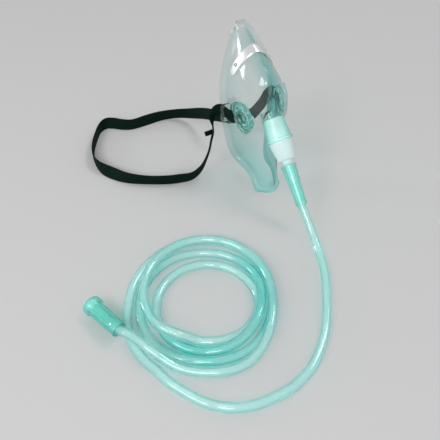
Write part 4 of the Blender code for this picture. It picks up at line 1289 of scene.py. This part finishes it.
class OXYGENMASK_OT_shell(Operator):
    """Mould the clear shell with its flange, port, lugs and studs"""

    bl_idname = "oxygen_mask.shell"
    bl_label = "Mask Shell"

    def execute(self, context):
        settings = context.scene.oxygen_mask_shell
        points, faces = shell_sheet(settings.flange)
        sheet = working_object("shell_sheet", mesh_from("shell_sheet", points, faces))
        wall = sheet.modifiers.new("wall", "SOLIDIFY")
        wall.thickness = settings.wall
        wall.offset = -1.0
        wall.use_even_offset = False
        bpy.context.view_layer.update()
        base = settle("shell_wall", sheet)
        root, bore, collar = self.port_tools()
        joined, cut = [(root, port_axis())], [(bore, port_axis()), (collar, port_axis())]
        for side in (-1, 1):
            more_joined, more_cut = self.lug_tools(side)
            joined += more_joined
            cut += more_cut
            stud = rod_mesh("stud", STUD_RADIUS, -settings.wall / 2, STUD_HEIGHT, 24,
                            bevel=0.0003)
            joined.append((stud, on_surface(*clip_path(side * STUD_AT))))
            opening = rod_mesh("vent_opening", settings.vent_radius - 0.0022, -0.006, 0.004, 48)
            cut.append((opening, vent_frame(side)))
        mesh = carve("clear_shell", base, joined, cut)
        self.mark_thickness_and_shade(mesh)
        mesh.transform(MASK_POSE)
        mesh.shade_smooth()
        mesh.set_sharp_from_angle(angle=SHARP_ANGLE)
        skin = vinyl("clear green vinyl", settings.pale, settings.deep, 0.98, 0.04, power=2.6,
                     bump=0.10, waves=70.0, ior=1.12, shade=(0.86, 0.88, 0.88), uneven=0.06,
                     coat=0.75)
        shell = add_piece("clear_shell", mesh, skin)
        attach(shell, "root")
        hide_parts("mask_shell")
        self.make_port(settings)
        return {"FINISHED"}

    def mark_thickness_and_shade(self, mesh):
        """Mark where the moulding is thickest, along the nose's ridge, and paint shade at the chin as a
        deeper tint towards the table.
        """
        marks = mesh.attributes.new("thick", "FLOAT", "POINT")
        for vertex, mark in zip(mesh.vertices, marks.data):
            ridge = max(1 - abs(vertex.co.x) / RIDGE_HALF_WIDTH, 0.0)
            ridge *= max(1 - abs(vertex.co.z - RIDGE_MIDDLE) / RIDGE_REACH, 0.0) ** 0.5
            # Painted shade: the tint deepens towards the table at the chin.
            chin = max(1 - vertex.co.z / CHIN_SHADE_HEIGHT, 0.0)
            mark.value = RIDGE_DEPTH * ridge + CHIN_SHADE_DEPTH * chin

    def port_radius(self, along):
        """Outer radius of the port's cone at a way along its axis."""
        share = (along - PORT_ROOT) / (PORT_LENGTH - PORT_ROOT)
        return PORT_ROOT_RADIUS + (PORT_LIP_RADIUS - PORT_ROOT_RADIUS) * share

    def port_tools(self):
        """The clear root of the port, moulded with the sheet, its bore and its collar's place."""
        near, far = self.port_radius(PORT_ROOT), self.port_radius(COLLAR_START)
        root = rod_mesh("port_root", near, PORT_ROOT, COLLAR_START, 64, far)
        bore = rod_mesh("port_bore", near - PORT_WALL, PORT_ROOT - 0.004, COLLAR_START + 0.002, 64,
                        far - PORT_WALL)
        collar = rod_mesh("port_collar_place", far, COLLAR_START, PORT_LENGTH, 64, PORT_LIP_RADIUS)
        return root, bore, collar

    def make_port(self, settings):
        """The port's thick cone beyond its root, open right through, with its lip."""
        start = COLLAR_START + 0.00005
        lip = PORT_LIP_RADIUS + PORT_LIP_PROUD
        band = PORT_LENGTH - PORT_LIP_BAND
        profile = [
            (self.port_radius(start) - PORT_WALL, start), (self.port_radius(start), start),
            (self.port_radius(band), band), (lip, band), (lip, PORT_LENGTH),
            (PORT_LIP_RADIUS - PORT_WALL, PORT_LENGTH),
        ]
        mesh = turned_mesh("port_collar", rounded(profile, 0.0004), TURNED_SIDES)
        mesh.transform(MASK_POSE @ port_axis())
        skin = vinyl("thick port vinyl", settings.port_pale, settings.port_deep, 0.60, 0.10,
                     power=1.3, ior=1.3, shade=(0.70, 0.84, 0.82))
        port = add_piece("port_collar", mesh, skin)
        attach(port, "root")

    def lug_tools(self, side):
        wall = bpy.context.scene.oxygen_mask_shell.wall
        reach = LUG_REACH + wall / 2
        tab = block_mesh("lug", (reach, LUG_THICKNESS, LUG_HEIGHT), 0.0028, 0.0003)
        slot = block_mesh("slot", (SLOT_WIDTH, 0.02, SLOT_HEIGHT), 0.0010)
        middle = lug_root(side).x + side * (reach / 2 - wall / 2)
        return ([(tab, Matrix.Translation((middle, LUG_BACK, LUG_UP)))],
                [(slot, Matrix.Translation(slot_middle(side)))])


class OXYGENMASK_OT_vents(Operator):
    """Mould the two round cheek vents with their sunk, pierced faces"""

    bl_idname = "oxygen_mask.vents"
    bl_label = "Cheek Vents"

    def execute(self, context):
        settings = context.scene.oxygen_mask_shell
        radius, height = settings.vent_radius, settings.vent_height
        sunk = height - VENT_RECESS
        skin = vinyl("thick vent vinyl", settings.vent_pale, settings.vent_deep, 0.92, 0.06,
                     power=1.5, ior=1.3, shade=(0.70, 0.86, 0.83))
        tree = perforation_tree()
        for side, name in ((-1, "near_vent"), (1, "far_vent")):
            profile = rounded([
                (0.0, -VENT_ROOT), (radius - 0.0012, -VENT_ROOT), (radius - 0.0012, 0.0),
                (radius, 0.0), (radius, height), (radius - VENT_RIM, height),
                (radius - VENT_RIM, sunk), (0.0040, sunk), (0.0036, sunk + 0.0005),
                (0.0, sunk + 0.0006)], 0.0003, 3)
            disc = turned_mesh(name, profile, TURNED_SIDES)
            shape = bmesh.new()
            shape.from_mesh(disc)
            bmesh.ops.remove_doubles(shape, verts=shape.verts, dist=1e-6)
            bmesh.ops.dissolve_degenerate(shape, edges=shape.edges, dist=1e-7)
            shape.to_mesh(disc)
            shape.free()
            mesh = run_tree(name, disc, tree, {
                "Holes": settings.vent_holes, "Hole Radius": settings.hole_radius,
                "Circle Radius": settings.hole_circle, "Depth": 0.02, "Material": skin})
            mesh.transform(MASK_POSE @ vent_frame(side))
            mesh.shade_smooth()
            mesh.set_sharp_from_angle(angle=SHARP_ANGLE)
            vent = add_piece(name, mesh, skin)
            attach(vent, "root")
        return {"FINISHED"}


class OXYGENMASK_OT_clip(Operator):
    """Bend the aluminium clip over the nose, with a hole for each stud"""

    bl_idname = "oxygen_mask.clip"
    bl_label = "Nose Clip"

    def execute(self, context):
        settings = context.scene.oxygen_mask_clip
        mesh = self.strip_mesh(settings.width, settings.thickness)
        holes = [(rod_mesh("clip_hole", STUD_RADIUS + TOUCH, -0.002, 0.004, 24),
                  on_surface(*clip_path(side * STUD_AT))) for side in (-1, 1)]
        mesh = carve("nose_strip", mesh, [], holes)
        mesh.transform(MASK_POSE)
        mesh.shade_smooth()
        mesh.set_sharp_from_angle(angle=math.radians(35.0))
        clip = add_piece("nose_strip", mesh, brushed_metal("rolled aluminium", settings.metal))
        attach(clip, "root")
        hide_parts("nose_clip")
        return {"FINISHED"}

    def strip_mesh(self, width, thickness):
        """A strip on the shell's surface with round ends, as rings of points round its section."""
        steps, edges = 120, 9
        ease = thickness * 0.3
        ring = [(-1 + 2 * index / (edges - 1), 0.0) for index in range(edges)]
        ring += [(1 - 2 * index / (edges - 1), 1.0) for index in range(edges)]
        points, spots = [], []
        for index, (across, from_end) in enumerate(clip_stations(steps)):
            share, place = clip_path(across)
            _, along, over, normal = shell_frame(share, place)
            ahead = shell_point(*clip_path(across + 0.01)) - shell_point(*clip_path(across - 0.01))
            sideways = normal.cross(ahead).normalized()
            metric = Matrix(((along.dot(along), along.dot(over)),
                             (along.dot(over), over.dot(over))))
            shares = metric.inverted() @ Vector((along.dot(sideways), over.dot(sideways)))
            rounding = min(from_end / CLIP_ROUNDING, 1.0)
            half = width / 2 - CLIP_ROUNDING * (1 - math.sqrt(1 - (1 - rounding) ** 2))
            for edge, top in ring:
                lift = CLIP_GAP + thickness * top
                lift += ease * abs(edge) ** 12 * (1 - 2 * top)
                spot = (share + shares[0] * half * edge, place + shares[1] * half * edge)
                point, _, _, up = shell_frame(*spot)
                points.append(point + up * lift)
                spots.append((index / steps, edge * half / width + 0.5))
        count = len(ring)
        faces = []
        for index in range(steps):
            first, second = index * count, (index + 1) * count
            for place in range(count):
                after = (place + 1) % count
                faces.append((first + place, first + after, second + after, second + place))
        last = steps * count
        for edge in range(edges - 1):
            low, high = edge, count - 1 - edge
            faces.append((low, high, high - 1, low + 1))
            faces.append((last + low, last + low + 1, last + high - 1, last + high))
        mesh = mesh_from("nose_strip", points, faces)
        layer = mesh.uv_layers.new(name="strip")
        for loop in mesh.loops:
            layer.data[loop.index].uv = spots[loop.vertex_index]
        return mesh


class OXYGENMASK_OT_adapter(Operator):
    """Turn the milky push-in adapter with its barbed nipple"""

    bl_idname = "oxygen_mask.adapter"
    bl_label = "Port Adapter"

    def execute(self, context):
        settings = context.scene.oxygen_mask_fittings
        lip = PORT_LENGTH + TOUCH
        taper = (PORT_LIP_RADIUS - PORT_ROOT_RADIUS) / PORT_LENGTH
        spigot_end = PORT_LIP_RADIUS - PORT_WALL - ADAPTER_FIT
        spigot_start = spigot_end - taper * ADAPTER_SPIGOT - ADAPTER_FIT
        end = lip + ADAPTER_LENGTH
        cuff_at = end + NIPPLE_SHOWN
        tip = cuff_at + NIPPLE_IN_CUFF
        profile = [
            (ADAPTER_BORE, tip), (NIPPLE_RADIUS - BARB_HEIGHT * 2, tip),
            (NIPPLE_RADIUS - BARB_HEIGHT, tip - 0.0015),
            (NIPPLE_RADIUS - BARB_HEIGHT, cuff_at - TOUCH),
            (NIPPLE_RADIUS + 0.0007, cuff_at - TOUCH),
            (NIPPLE_RADIUS + 0.0009, end), (ADAPTER_END_RADIUS, end),
            ((ADAPTER_END_RADIUS + ADAPTER_SHOULDER_RADIUS) / 2 + 0.0003, (lip + end) / 2),
            (ADAPTER_SHOULDER_RADIUS, lip + 0.0010), (ADAPTER_SHOULDER_RADIUS, lip),
            (spigot_end, lip), (spigot_start, PORT_LENGTH - ADAPTER_SPIGOT),
            (spigot_start - 0.0010, PORT_LENGTH - ADAPTER_SPIGOT),
            (spigot_end - 0.0012, lip), (ADAPTER_END_RADIUS - 0.0016, end - 0.0014),
            (ADAPTER_BORE, end - 0.0014),
        ]
        mesh = turned_mesh("milky_adapter", rounded(list(reversed(profile)), 0.0005), TURNED_SIDES)
        mesh.transform(MASK_POSE @ port_axis())
        skin = vinyl("milky plastic", settings.milky, settings.milky_deep, 0.30, 0.18, power=2.4,
                     ior=1.3, shade=(0.78, 0.86, 0.85))
        adapter = add_piece("milky_adapter", mesh, skin)
        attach(adapter, "root")
        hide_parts("port_adapter")
        return {"FINISHED"}


class OXYGENMASK_OT_strap(Operator):
    """Weave the flat elastic strap that stands on its edge on the table"""

    bl_idname = "oxygen_mask.strap"
    bl_label = "Head Strap"

    def execute(self, context):
        settings = context.scene.oxygen_mask_strap
        near_slot, far_slot = (MASK_POSE @ slot_middle(side) for side in (-1, 1))
        around = ((near_slot, STRAP_NEAR_END), (LAYOUT_SHIFT, STRAP_FREE_RUN),
                  (far_slot, STRAP_FAR_END))
        points, faces, marks = [], [], []
        for stretches in (around, ((near_slot, STRAP_TAIL),)):
            self.add_band(settings, self.stations(settings, stretches), points, faces, marks)
        mesh = mesh_from("elastic_strap", points, faces)
        layer = mesh.uv_layers.new(name="band")
        for loop in mesh.loops:
            layer.data[loop.index].uv = marks[loop.vertex_index]
        cloth = elastic_cloth("dark green elastic", settings.dark, settings.light, settings.cords)
        strap = add_piece("elastic_strap", mesh, cloth)
        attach(strap, "root")
        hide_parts("head_strap")
        return {"FINISHED"}

    def add_band(self, settings, stations, points, faces, marks):
        """Sweep the band's section along its stations, closed at both ends."""
        ring = self.band_ring(settings)
        base, count, size = len(points), len(stations), len(ring)
        walked = 0.0
        for index, station in enumerate(stations):
            point = station.to_3d()
            ahead = (stations[min(index + 1, count - 1)] - stations[max(index - 1, 0)]).to_3d()
            ahead.normalize()
            if index:
                walked += (point - stations[index - 1].to_3d()).length
            upright = Vector((0, math.sin(station.w), math.cos(station.w)))
            flat = upright.cross(ahead).normalized()
            across = ahead.cross(flat).normalized()
            for outward, upward in ring:
                points.append(point + flat * outward + across * upward)
                marks.append((walked, upward / settings.width + 0.5))
        for index in range(count - 1):
            first, second = base + index * size, base + (index + 1) * size
            for corner in range(size):
                after = (corner + 1) % size
                faces.append((first + corner, first + after, second + after, second + corner))
        last = (count - 1) * size
        for corner in range(size // 2 - 1):
            low, high = base + corner, base + size - 1 - corner
            faces.append((low, high, high - 1, low + 1))
            faces.append((last + low, last + low + 1, last + high - 1, last + high))

    def stations(self, settings, stretches):
        """The band's centre line and lean, from its stretches' points."""
        half = settings.width / 2
        route = []
        for mark, stretch in stretches:
            for x, y, height, lean in stretch:
                angle = math.radians(lean)
                resting = (half * math.cos(angle) + settings.thickness / 2 * abs(math.sin(angle))
                           + TOUCH * 2 / 3)
                place = mark + Vector((x, y, height))
                route.append(Vector((place.x, place.y, max(place.z, resting), angle)))
        return smooth_route(route, 5)

    def band_ring(self, settings):
        """The band's section: cords standing proud on both faces, round edges."""
        half, thick = settings.width / 2, settings.thickness / 2
        steps = settings.cords * 6
        face = []
        for index in range(steps + 1):
            share = index / steps
            up = (share - 0.5) * 2
            wave = (1 - math.cos(2 * math.pi * share * settings.cords)) / 2
            edge = (1 - abs(up) ** 14)
            face.append(((thick - settings.cord_height * (1 - wave)) * max(edge, 0.25), up * half))
        other = [(-outward, upward) for outward, upward in reversed(face)]
        return face + other


class OXYGENMASK_PT_panel(Panel):
    """Lists the pieces of the oxygen mask in the sidebar"""

    bl_idname = "OXYGENMASK_PT_panel"
    bl_label = "Oxygen Mask"
    bl_space_type = "VIEW_3D"
    bl_region_type = "UI"
    bl_category = "Oxygen Mask"

    def draw(self, context):
        for maker in MAKERS:
            self.layout.operator(maker.bl_idname)
        for name in SETTINGS:
            group = getattr(context.scene, name)
            box = self.layout.box()
            for field in group.__annotations__:
                box.prop(group, field)


MAKERS = (
    OXYGENMASK_OT_stage,
    OXYGENMASK_OT_ends,
    OXYGENMASK_OT_tube,
    OXYGENMASK_OT_shell,
    OXYGENMASK_OT_vents,
    OXYGENMASK_OT_clip,
    OXYGENMASK_OT_adapter,
    OXYGENMASK_OT_strap,
)


def register():
    for settings in SETTINGS.values():
        bpy.utils.register_class(settings)
    for name, settings in SETTINGS.items():
        setattr(bpy.types.Scene, name, PointerProperty(type=settings))
    for maker in MAKERS:
        bpy.utils.register_class(maker)
    bpy.utils.register_class(OXYGENMASK_PT_panel)


def unregister():
    bpy.utils.unregister_class(OXYGENMASK_PT_panel)
    for maker in reversed(MAKERS):
        bpy.utils.unregister_class(maker)
    for name, settings in reversed(SETTINGS.items()):
        delattr(bpy.types.Scene, name)
        bpy.utils.unregister_class(settings)


def main():
    register()
    for maker in MAKERS:
        group, name = maker.bl_idname.split(".")
        getattr(getattr(bpy.ops, group), name)()


if __name__ == "__main__":
    main()
